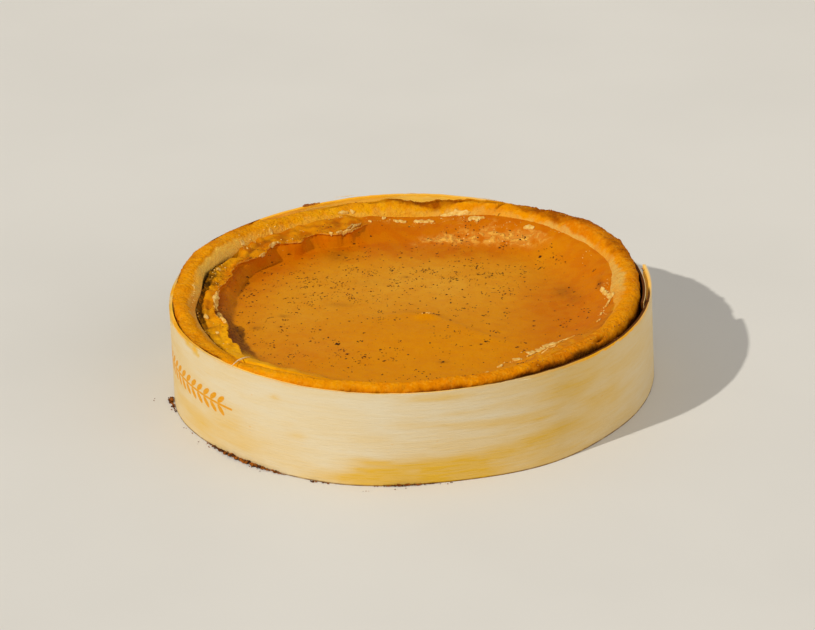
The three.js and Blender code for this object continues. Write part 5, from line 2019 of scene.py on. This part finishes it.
@dataclass
class PaleFlakes:
    """Flakes of burst skin and pastry that lie on the custard and on its lip."""

    step: float = 0.3
    across: int = 9
    thickness: float = 0.42
    lift: float = 0.22
    overhang: float = 0.7
    # How far a flake gives way downwards over each millimetre of its length
    bending: float = 0.35
    seed: int = 41

    def plate(self, flake: Flake, number: int, ground: Ground) -> Array:
        """Shape one flake as closed rings of points along its line.

        Args:
            flake: Its line and size.
            number: Its place in the list, which seeds its raggedness.
            ground: What it lies on.

        Returns:
            Grid of rings by points, the upper side first and then the under side.
        """
        knots = np.array(flake.line)
        lengths = np.concatenate([[0], np.cumsum(np.hypot(*np.diff(knots, axis=0).T))])
        count = max(8, int(lengths[-1] / self.step))
        run = np.linspace(0, lengths[-1], count)
        line = np.stack([np.interp(run, lengths, knots[:, n]) for n in (0, 1)], axis=-1)
        way = np.gradient(line, axis=0)
        way /= np.linalg.norm(way, axis=1, keepdims=True)
        side = np.stack([-way[:, 1], way[:, 0]], axis=-1)
        ends = np.sqrt(unit(np.sin(np.pi * (np.arange(count) + 0.5) / count)))
        spots = np.stack([run, 0 * run, 0 * run + 9.0 * number], axis=-1)
        noise = NoiseField(self.seed)
        halves = []
        for shift in (0.0, 40.0):
            rag = noise.at(spots + shift, 1.9) + 0.8 * noise.at(spots + shift + 7, 0.8)
            halves.append(0.5 * flake.width * ends * np.clip(1 + flake.ragged * rag, 0.25, 1.8))
        middle = ground.heights(line)
        middle = np.maximum(middle, np.convolve(np.pad(middle, 4, mode="edge"), np.ones(9) / 9, "valid"))
        middle = np.maximum(middle, middle.max() - self.bending * lengths[-1])
        rings = []
        for share in np.linspace(-1, 1, self.across):
            spot = line + side * (share * np.where(share < 0, halves[0], halves[1]))[:, None]
            level = np.maximum(ground.heights(spot), middle - self.overhang * (0.5 + abs(share)))
            grain = noise.at(np.stack([spot[:, 0], spot[:, 1], 0 * run], axis=-1) + 60, 1.0)
            arch = 1 - share * share
            up = (
                self.lift + self.thickness * np.sqrt(arch)
                + 0.22 * grain + flake.stand * (0.35 + 0.65 * arch) * ends
            )
            rings.append(np.column_stack([spot, level + np.maximum(up, 0.1)]))
        for share in np.linspace(1, -1, self.across)[1:-1]:
            spot = line + side * (share * np.where(share < 0, halves[0], halves[1]))[:, None]
            level = np.maximum(ground.heights(spot), middle - self.overhang * (0.5 + abs(share)))
            rings.append(np.column_stack([spot, level - 0.35 + 0.5 * flake.stand]))
        return np.stack(rings, axis=1)

    def build(self, ground: Ground) -> Piece:
        """Make all flakes as one piece."""
        parts, quads, triangles, start = [], [], [], 0
        for number, flake in enumerate(FLAKES):
            grid = self.plate(flake, number, ground)
            count, around = grid.shape[:2]
            here = start + np.arange(count * around).reshape(count, around)
            beside = np.roll(here, -1, axis=1)
            quads.append(np.stack([here[:-1], here[1:], beside[1:], beside[:-1]], axis=-1).reshape(-1, 4))
            ends = start + count * around
            triangles.append(np.stack([np.full(around, ends), here[0], beside[0]], axis=-1))
            triangles.append(np.stack([np.full(around, ends + 1), beside[-1], here[-1]], axis=-1))
            tips = [grid[end].mean(axis=0, keepdims=True) for end in (0, -1)]
            parts += [grid.reshape(-1, 3), *tips]
            start = ends + 2
        mesh = mesh_of("pale_flakes", np.concatenate(parts), np.concatenate(quads), np.concatenate(triangles))
        piece = piece_of("pale_flakes", mesh, FLAKE.material())
        finish_piece(piece, "custard")
        return piece


@dataclass
class PaleGrains:
    """Small pale crumbs: along the crevice, on the ledge and round the larger flakes, and a few on the
    blister that stand for its glints as painted highlights.
    """

    seed: int = 47
    # Clusters: x, y, spread along x and y, count and half size
    clusters: tuple[tuple[float, float, float, float, int, float], ...] = (
        (-103, -6, 0.35, 6.5, 30, 0.34), (-101.6, -21, 0.6, 4, 16, 0.32), (-96, -38, 1.4, 5, 12, 0.28),
        (-94, 22, 1.5, 5, 22, 0.36), (-91.5, 34, 1.2, 3, 10, 0.34), (-82, 58, 2.4, 2.4, 9, 0.38),
        (-76, 62, 3, 4, 10, 0.3), (-62, 68, 4, 3, 9, 0.34), (-69, 74, 3, 2, 6, 0.36),
        (-55, 78, 5, 3, 8, 0.28), (-86, -56, 4, 3, 10, 0.3), (-60, -76, 5, 2, 8, 0.3),
        (32, 90, 5, 1.2, 10, 0.34), (6, 93.6, 8, 1.4, 14, 0.3), (-10, 94.2, 6, 1, 8, 0.28),
        (50, 84, 3, 1.2, 5, 0.3), (72, 70, 4, 2, 6, 0.26), (86, 46, 2, 3, 6, 0.28),
        # The first cluster here, on the blister, is painted highlight: pale grains that stand for glints
        (8.2, -10.6, 2.2, 0.6, 9, 0.34), (94, 6, 1, 4, 10, 0.34), (91, -16, 1.2, 4, 10, 0.3),
        (64, -47, 5, 3, 16, 0.36),
        (48, -61, 4, 3, 8, 0.34), (37, -74, 3, 2, 8, 0.34), (62, -66, 4, 2.4, 10, 0.32),
        (-34, 93, 4, 2, 12, 0.34), (20, 95, 6, 1.4, 10, 0.28), (40, 84, 14, 2.4, 22, 0.2),
    )

    def build(self, ground: Ground) -> Piece:
        """Lay the grains."""
        draw = np.random.default_rng(self.seed)
        spots, bulks = [], []
        for x, y, wide, deep, count, bulk in self.clusters:
            spots.append(np.array([x, y, 0.0]) + draw.normal(0, 1, (count, 3)) * [wide, deep, 0])
            bulks.append(bulk * (0.4 + 1.1 * draw.random(count) ** 1.5))
        points, bulk = np.concatenate(spots), np.concatenate(bulks)
        points[:, 2] = ground.heights(points) + 0.25 * bulk
        tree = ClumpTree("pale_grain", FLAKE.material(), self.seed, ClumpForm(0.7, 0.2, 1, 1.6))
        piece = tree.grow("pale_grains", row_of_points("pale_grains", points, bulk))
        finish_piece(piece, "custard")
        return piece


@dataclass
class BurntRun:
    """Crusty clumps of burnt custard along the foot of the band."""

    name: str
    node: str | None
    start: float
    end: float
    width: float
    height: float
    step: float = 0.55
    seed: int = 3

    def guide(self) -> Mesh:
        """Row of places for the clumps, each with its size."""
        draw = np.random.default_rng(self.seed)
        length = math.radians(abs(self.end - self.start)) * FORM.foot_radius
        count = max(4, int(3 * length / self.step))
        share = draw.random(count)
        angle = blend(self.start, self.end, share)
        fade = 0.35 + 0.65 * np.sin(np.pi * share)
        size = fade * self.height * (0.22 + 0.3 * draw.random(count) ** 2)
        lumpy = 0.6 + 0.4 * np.sin(angle * 2.1) * np.sin(angle * 0.9 + 1)
        out = draw.random(count) ** 1.4 * self.width * fade * lumpy
        up = draw.random(count) * (0.55 * self.height * fade * (1 - out / (self.width * 1.1)))
        radius = FORM.band_outer(angle, 0 * angle) + 0.15 + size + out
        return row_of_points(self.name, polar(radius, angle, size * 0.8 + up), size)

    def build(self, tree: GrowthTree) -> Piece:
        """Grow the clumps along the foot of the band."""
        piece = tree.grow(self.name, self.guide())
        finish_piece(piece, "burnt_custard", self.node)
        return piece


@dataclass(frozen=True)
class ClumpForm:
    """Form of small clumps: how flat, rough (mm), finely cut and long they are."""

    flatness: float = 0.8
    roughness: float = 0.45
    detail: int = 2
    longest: float = 1.4


class ClumpTree(GrowthTree):
    """Tree that sets a rough clump on each point of a row, as large as the point's bulk."""

    def __init__(self, name: str, material: Material, seed: int, form: ClumpForm = ClumpForm()) -> None:
        """Build the tree with its material, seed and form."""
        inputs = {"Roughness": form.roughness * MM, "Flatness": form.flatness, "Detail": form.detail}
        super().__init__(name, {**inputs, "Seed": seed, "Material": material})
        points = self.node("GeometryNodeMeshToPoints", {"Mesh": self.source.outputs["Geometry"]}).outputs[0]
        ball = self.node("GeometryNodeMeshIcoSphere", {"Radius": 1.0, "Subdivisions": self.given("Detail")})
        sizes = self.random_vector((0.7, 0.6, 0.7), (form.longest, 1.1, 1.1), 1)
        squashed = self.joined(1.0, 1.0, self.given("Flatness"))
        sizes = self.vector("MULTIPLY", sizes, squashed)
        scale = self.stretched(sizes, self.number("bulk"))
        spin = self.node(
            "FunctionNodeEulerToRotation", {0: self.random_vector((0, 0, 0), (0.4, 0.4, 6.28), 2)}
        )
        clumps = self.node("GeometryNodeInstanceOnPoints", {
            "Points": points, "Instance": ball.outputs[0], "Rotation": spin.outputs[0], "Scale": scale,
        })
        real = self.node("GeometryNodeRealizeInstances", {0: clumps.outputs[0]}).outputs[0]
        noise = self.node("ShaderNodeTexNoise", {"Scale": 1400.0, "Detail": 1.0}).outputs[0]
        swing = self.times(self.less(noise, 0.5), self.given("Roughness"))
        facing = self.node("GeometryNodeInputNormal").outputs[0]
        push = self.stretched(facing, swing)
        self.close(self.node("GeometryNodeSetPosition", {"Geometry": real, "Offset": push}).outputs[0])


@dataclass
class LooseCrumbs:
    """Burnt crumbs beside the flan and on the band's top edge, and toasted ones on the crust's outer edge."""

    seed: int = 6
    # Clusters beside the band: angle, distance out of its foot, spread, count and size
    clusters: tuple[tuple[float, float, float, int, float], ...] = (
        (-165.6, 0.5, 1.7, 42, 0.85), (-162.6, 0.3, 1.3, 18, 0.65), (-160.4, 0.2, 0.9, 8, 0.5),
        (-111.5, 0.4, 1, 12, 0.5), (-108.6, 0.3, 0.8, 8, 0.45), (-92, 2.4, 2.6, 4, 0.4),
        (-167, 9.5, 0.8, 2, 0.4), (-99.5, 5, 0.9, 3, 0.35), (-150, 0.3, 2.6, 8, 0.3),
        (-140, 0.3, 3, 9, 0.3), (-126, 0.8, 3.5, 6, 0.3), (-82, 0.5, 2.6, 8, 0.35),
    )
    # On the band's top edge: angle, spread in degrees, count and size
    on_edge: tuple[tuple[float, float, int, float], ...] = (
        (-7, 0.5, 7, 0.4), (11, 0.5, 5, 0.35), (-31, 0.7, 6, 0.3),
    )
    toasted: int = 150

    def burnt(self) -> Mesh:
        """Places of the burnt crumbs, on the surface below and on the band's edge."""
        draw = np.random.default_rng(self.seed)
        points, bulks = [], []
        for angle, out, spread, count, size in self.clusters:
            bulk = size * (0.3 + 0.7 * draw.random(count) ** 1.6)
            turn = angle + np.degrees(draw.normal(0, spread, count) / FORM.foot_radius)
            reach = (
                FORM.band_outer(turn, 0 * turn) + 0.9 * bulk
                + np.abs(draw.normal(0, 1, count)) * 0.5 * spread + out
            )
            points.append(polar(reach, turn, 0.75 * bulk))
            bulks.append(bulk)
        for angle, spread, count, size in self.on_edge:
            bulk = size * (0.4 + 0.6 * draw.random(count))
            turn = angle + draw.normal(0, spread, count)
            reach = FORM.band_outer(turn, FORM.band_height) - 0.8 + draw.normal(0, 0.35, count)
            points.append(polar(reach, turn, 45.1 + FORM.band_waver + 0.35 * bulk))
            bulks.append(bulk)
        return row_of_points("burnt_crumbs", np.concatenate(points), np.concatenate(bulks))

    def on_rim(self, ground: Ground) -> Mesh:
        """Places of the toasted crumbs, on the browned outer edge of the rim."""
        draw = np.random.default_rng(self.seed + 1)
        angle = draw.uniform(-62, 110, self.toasted)
        crest_radius, _ = FORM.crest(angle)
        out = draw.uniform(0.2, 0.85, len(angle)) * (FORM.crest_inset + FORM.overhang.at(angle))
        bulk = 0.18 + 0.34 * draw.random(len(angle)) ** 3
        points = polar(crest_radius + out, angle, 0 * angle)
        flake_angle = np.linspace(113.6, 117.8, 14)
        on_band = polar(FORM.band_outer(flake_angle, FORM.band_height) - 0.4, flake_angle, 0 * flake_angle)
        points = np.concatenate([points, on_band + draw.normal(0, 0.16, (14, 3))])
        bulk = np.concatenate([bulk, np.linspace(0.55, 1.05, 14)])
        points[:, 2] = ground.heights(points) + 0.3 * bulk
        return row_of_points("toasted_crumbs", points, bulk)

    def build(self, ground: Ground) -> list[Piece]:
        """Grow both kinds of crumbs, one piece for each kind."""
        burnt = ClumpTree("burnt_crumb", BURNT.material(), self.seed).grow("burnt_crumbs", self.burnt())
        finish_piece(burnt, "burnt_custard")
        tree = ClumpTree("toasted_crumb", TOASTED.material(), self.seed + 2, ClumpForm(0.8, 0.2, 1))
        toasted = tree.grow("toasted_crumbs", self.on_rim(ground))
        finish_piece(toasted, "pastry")
        return [burnt, toasted]


@dataclass
class Fibres:
    """Thin splinters of veneer: one across the rim in front, and a few along the band's top edge."""

    # Each one: start (angle, radius), end (angle, radius), lift over the surface and thickness
    lines: tuple[tuple[float, float, float, float, float, float], ...] = (
        (-133.6, 119, -136.8, 101.6, 0.3, 0.7),
        (105, 113.6, 109.5, 114.6, 1, 0.22),
        (103.5, 113.4, 107, 113.9, 1.3, 0.18),
        (67, 113.2, 72.5, 113.9, 0.7, 0.22),
        (88, 113.5, 91, 114.4, 0.7, 0.2),
        (-64, 112.6, -61, 113.4, 0.4, 0.2),
    )
    steps: int = 14

    def tree(self, material: Material) -> GrowthTree:
        """Tree that gives each line a thin tapering body."""
        t = GrowthTree("splinters", {"Width": MM, "Seed": 2, "Material": material})
        line = t.node("GeometryNodeMeshToCurve", {0: t.source.outputs["Geometry"]}).outputs[0]
        round_it = {"Resolution": 6, "Radius": t.given("Width")}
        ring = t.node("GeometryNodeCurvePrimitiveCircle", round_it).outputs[0]
        inputs = {"Curve": line, "Profile Curve": ring, "Scale": t.number("bulk"), "Fill Caps": True}
        t.close(t.node("GeometryNodeCurveToMesh", inputs).outputs[0])
        return t

    @staticmethod
    def rest(level: Array) -> Array:
        """Heights of a straight stiff thing that rests on the highest places of what lies below."""
        count = len(level)
        place = np.arange(count)
        held = level.copy()
        for first in range(count - 1):
            for last in range(first + 1, count):
                between = (place >= first) & (place <= last)
                chord = blend(level[first], level[last], (place[between] - first) / (last - first))
                held[between] = np.maximum(held[between], chord)
        return held

    def build(self, ground: Ground) -> Piece:
        """Make the splinters."""
        points, edges, bulks = [], [], []
        for start_angle, start_radius, end_angle, end_radius, lift, thickness in self.lines:
            share = np.linspace(0, 1, self.steps)
            line = polar(
                blend(start_radius, end_radius, share), blend(start_angle, end_angle, share), 0 * share
            )
            on_band = np.hypot(line[:, 0], line[:, 1]) > 112.2
            level = np.maximum(ground.heights(line), 45.2 * on_band)
            line[:, 2] = self.rest(level) + lift
            first = len(points)
            points += [tuple(point) for point in line]
            edges += [(first + n, first + n + 1) for n in range(self.steps - 1)]
            bulks += list(0.5 * thickness * (0.25 + 0.75 * np.sin(np.pi * np.clip(share, 0.04, 0.96))))
        mesh = wire_of("splinters", np.array(points), edges)
        paint(mesh, "bulk", np.array(bulks))
        piece = self.tree(FIBRE.material()).grow("splinters", mesh)
        finish_piece(piece, "veneer")
        return piece


@dataclass(frozen=True)
class PhotoCamera:
    """Camera at the photograph's angle, sized for a frame of 815 by 630."""

    elevation: float = 24.885
    distance: float = 2.0
    target: tuple[float, float, float] = (-1.42, 11.56, 26.09)
    pixels_focal: float = 4158.7
    frame_width: float = 815.0
    sensor: float = 36.0

    def build(self) -> Piece:
        """Make the camera and hand it to the scene."""
        data = bpy.data.cameras.new("photo_camera")
        data.sensor_width = self.sensor
        data.lens = self.pixels_focal * self.sensor / self.frame_width
        camera = bpy.data.objects.new("photo_camera", data)
        bpy.context.collection.objects.link(camera)
        lean = math.radians(self.elevation)
        back = Vector((0.0, -math.cos(lean), math.sin(lean)))
        camera.location = Vector(placed(np.array(self.target))) + back * self.distance
        camera.rotation_euler = (-back).to_track_quat("-Z", "Y").to_euler()
        bpy.context.scene.camera = camera
        return camera


@dataclass(frozen=True)
class Studio:
    """Plain pale floor, a low sun-like key from the front left and soft light all round."""

    floor_colour: Colour = (0.7, 0.682, 0.632)
    key_strength: float = 2.5
    key_towards: float = 35.0
    key_height: float = 36.2
    key_softness: float = 1.2
    key_colour: Colour = (1.0, 0.965, 0.9)
    sky_colour: Colour = (1.0, 0.965, 0.93)
    sky_base: float = 0.4
    sky_lobe: float = 0.9

    def floor(self) -> None:
        """Lay the floor."""
        side = 3000.0
        corners = np.array(
            [[-side, -side, -0.02], [side, -side, -0.02], [side, side, -0.02], [-side, side, -0.02]]
        )
        mesh = mesh_of("floor", corners, np.array([[0, 1, 2, 3]]))
        d = Dressing("pale_floor")
        patch = d.patches(0.16, 0.3, 0.7)
        warm = tuple(0.965 * part for part in self.floor_colour)
        d.set(Base_Color=d.mix(patch, self.floor_colour, warm), Roughness=0.6, Specular_IOR_Level=0.15)
        floor = piece_of("floor", mesh, d.material)

    def lights(self) -> None:
        """Set the key light and the soft surroundings."""
        data = bpy.data.lights.new("key", "SUN")
        data.energy = self.key_strength
        data.angle = math.radians(self.key_softness)
        data.color = self.key_colour
        key = bpy.data.objects.new("key", data)
        bpy.context.collection.objects.link(key)
        turn, rise = math.radians(self.key_towards), math.radians(self.key_height)
        way = Vector((math.cos(rise) * math.cos(turn), math.cos(rise) * math.sin(turn), -math.sin(rise)))
        key.rotation_euler = way.to_track_quat("-Z", "Y").to_euler()
        world = bpy.data.worlds.new("soft_surroundings")
        bpy.context.scene.world = world
        world.use_nodes = True
        graph = Graph(world.node_tree)
        facing = graph.node("ShaderNodeTexCoord").outputs["Generated"]
        front = graph.vector("DOT_PRODUCT", facing, (0.9, -0.43, 0.08))
        strength = graph.ranged(front, 0.25, 0.98, self.sky_base, self.sky_base + self.sky_lobe)
        background = world.node_tree.nodes["Background"]
        graph.put(background.inputs["Color"], self.sky_colour)
        graph.put(background.inputs["Strength"], strength)

    def build(self) -> None:
        """Set the stage and the look of the picture."""
        self.floor()
        self.lights()
        bpy.context.scene.view_settings.view_transform = "Standard"


def main() -> None:
    """Build the flan's pieces in order, with its camera and stage."""
    logging.basicConfig(level=logging.INFO, format="%(message)s")
    PhotoCamera().build()
    band = VeneerBand().build()
    crust = PastryShell().build()
    custard = CustardFilling().build()
    ground = Ground([band, crust, custard])
    VanillaSpecks().build(ground)
    PaleFlakes().build(ground)
    PaleGrains().build(ground)
    runs = (
        BurntRun("burnt_run_left", "burnt_seep_left", -142, -118, 1.9, 1.7, seed=3),
        BurntRun("burnt_run_front", "burnt_seep_front", -98, -84, 1.2, 1.1, seed=5),
    )
    for run in runs:
        run.build(ClumpTree(run.name, BURNT.material(), run.seed))
    LooseCrumbs().build(ground)
    Fibres().build(ground)
    Studio().build()


if __name__ == "__main__":
    main()
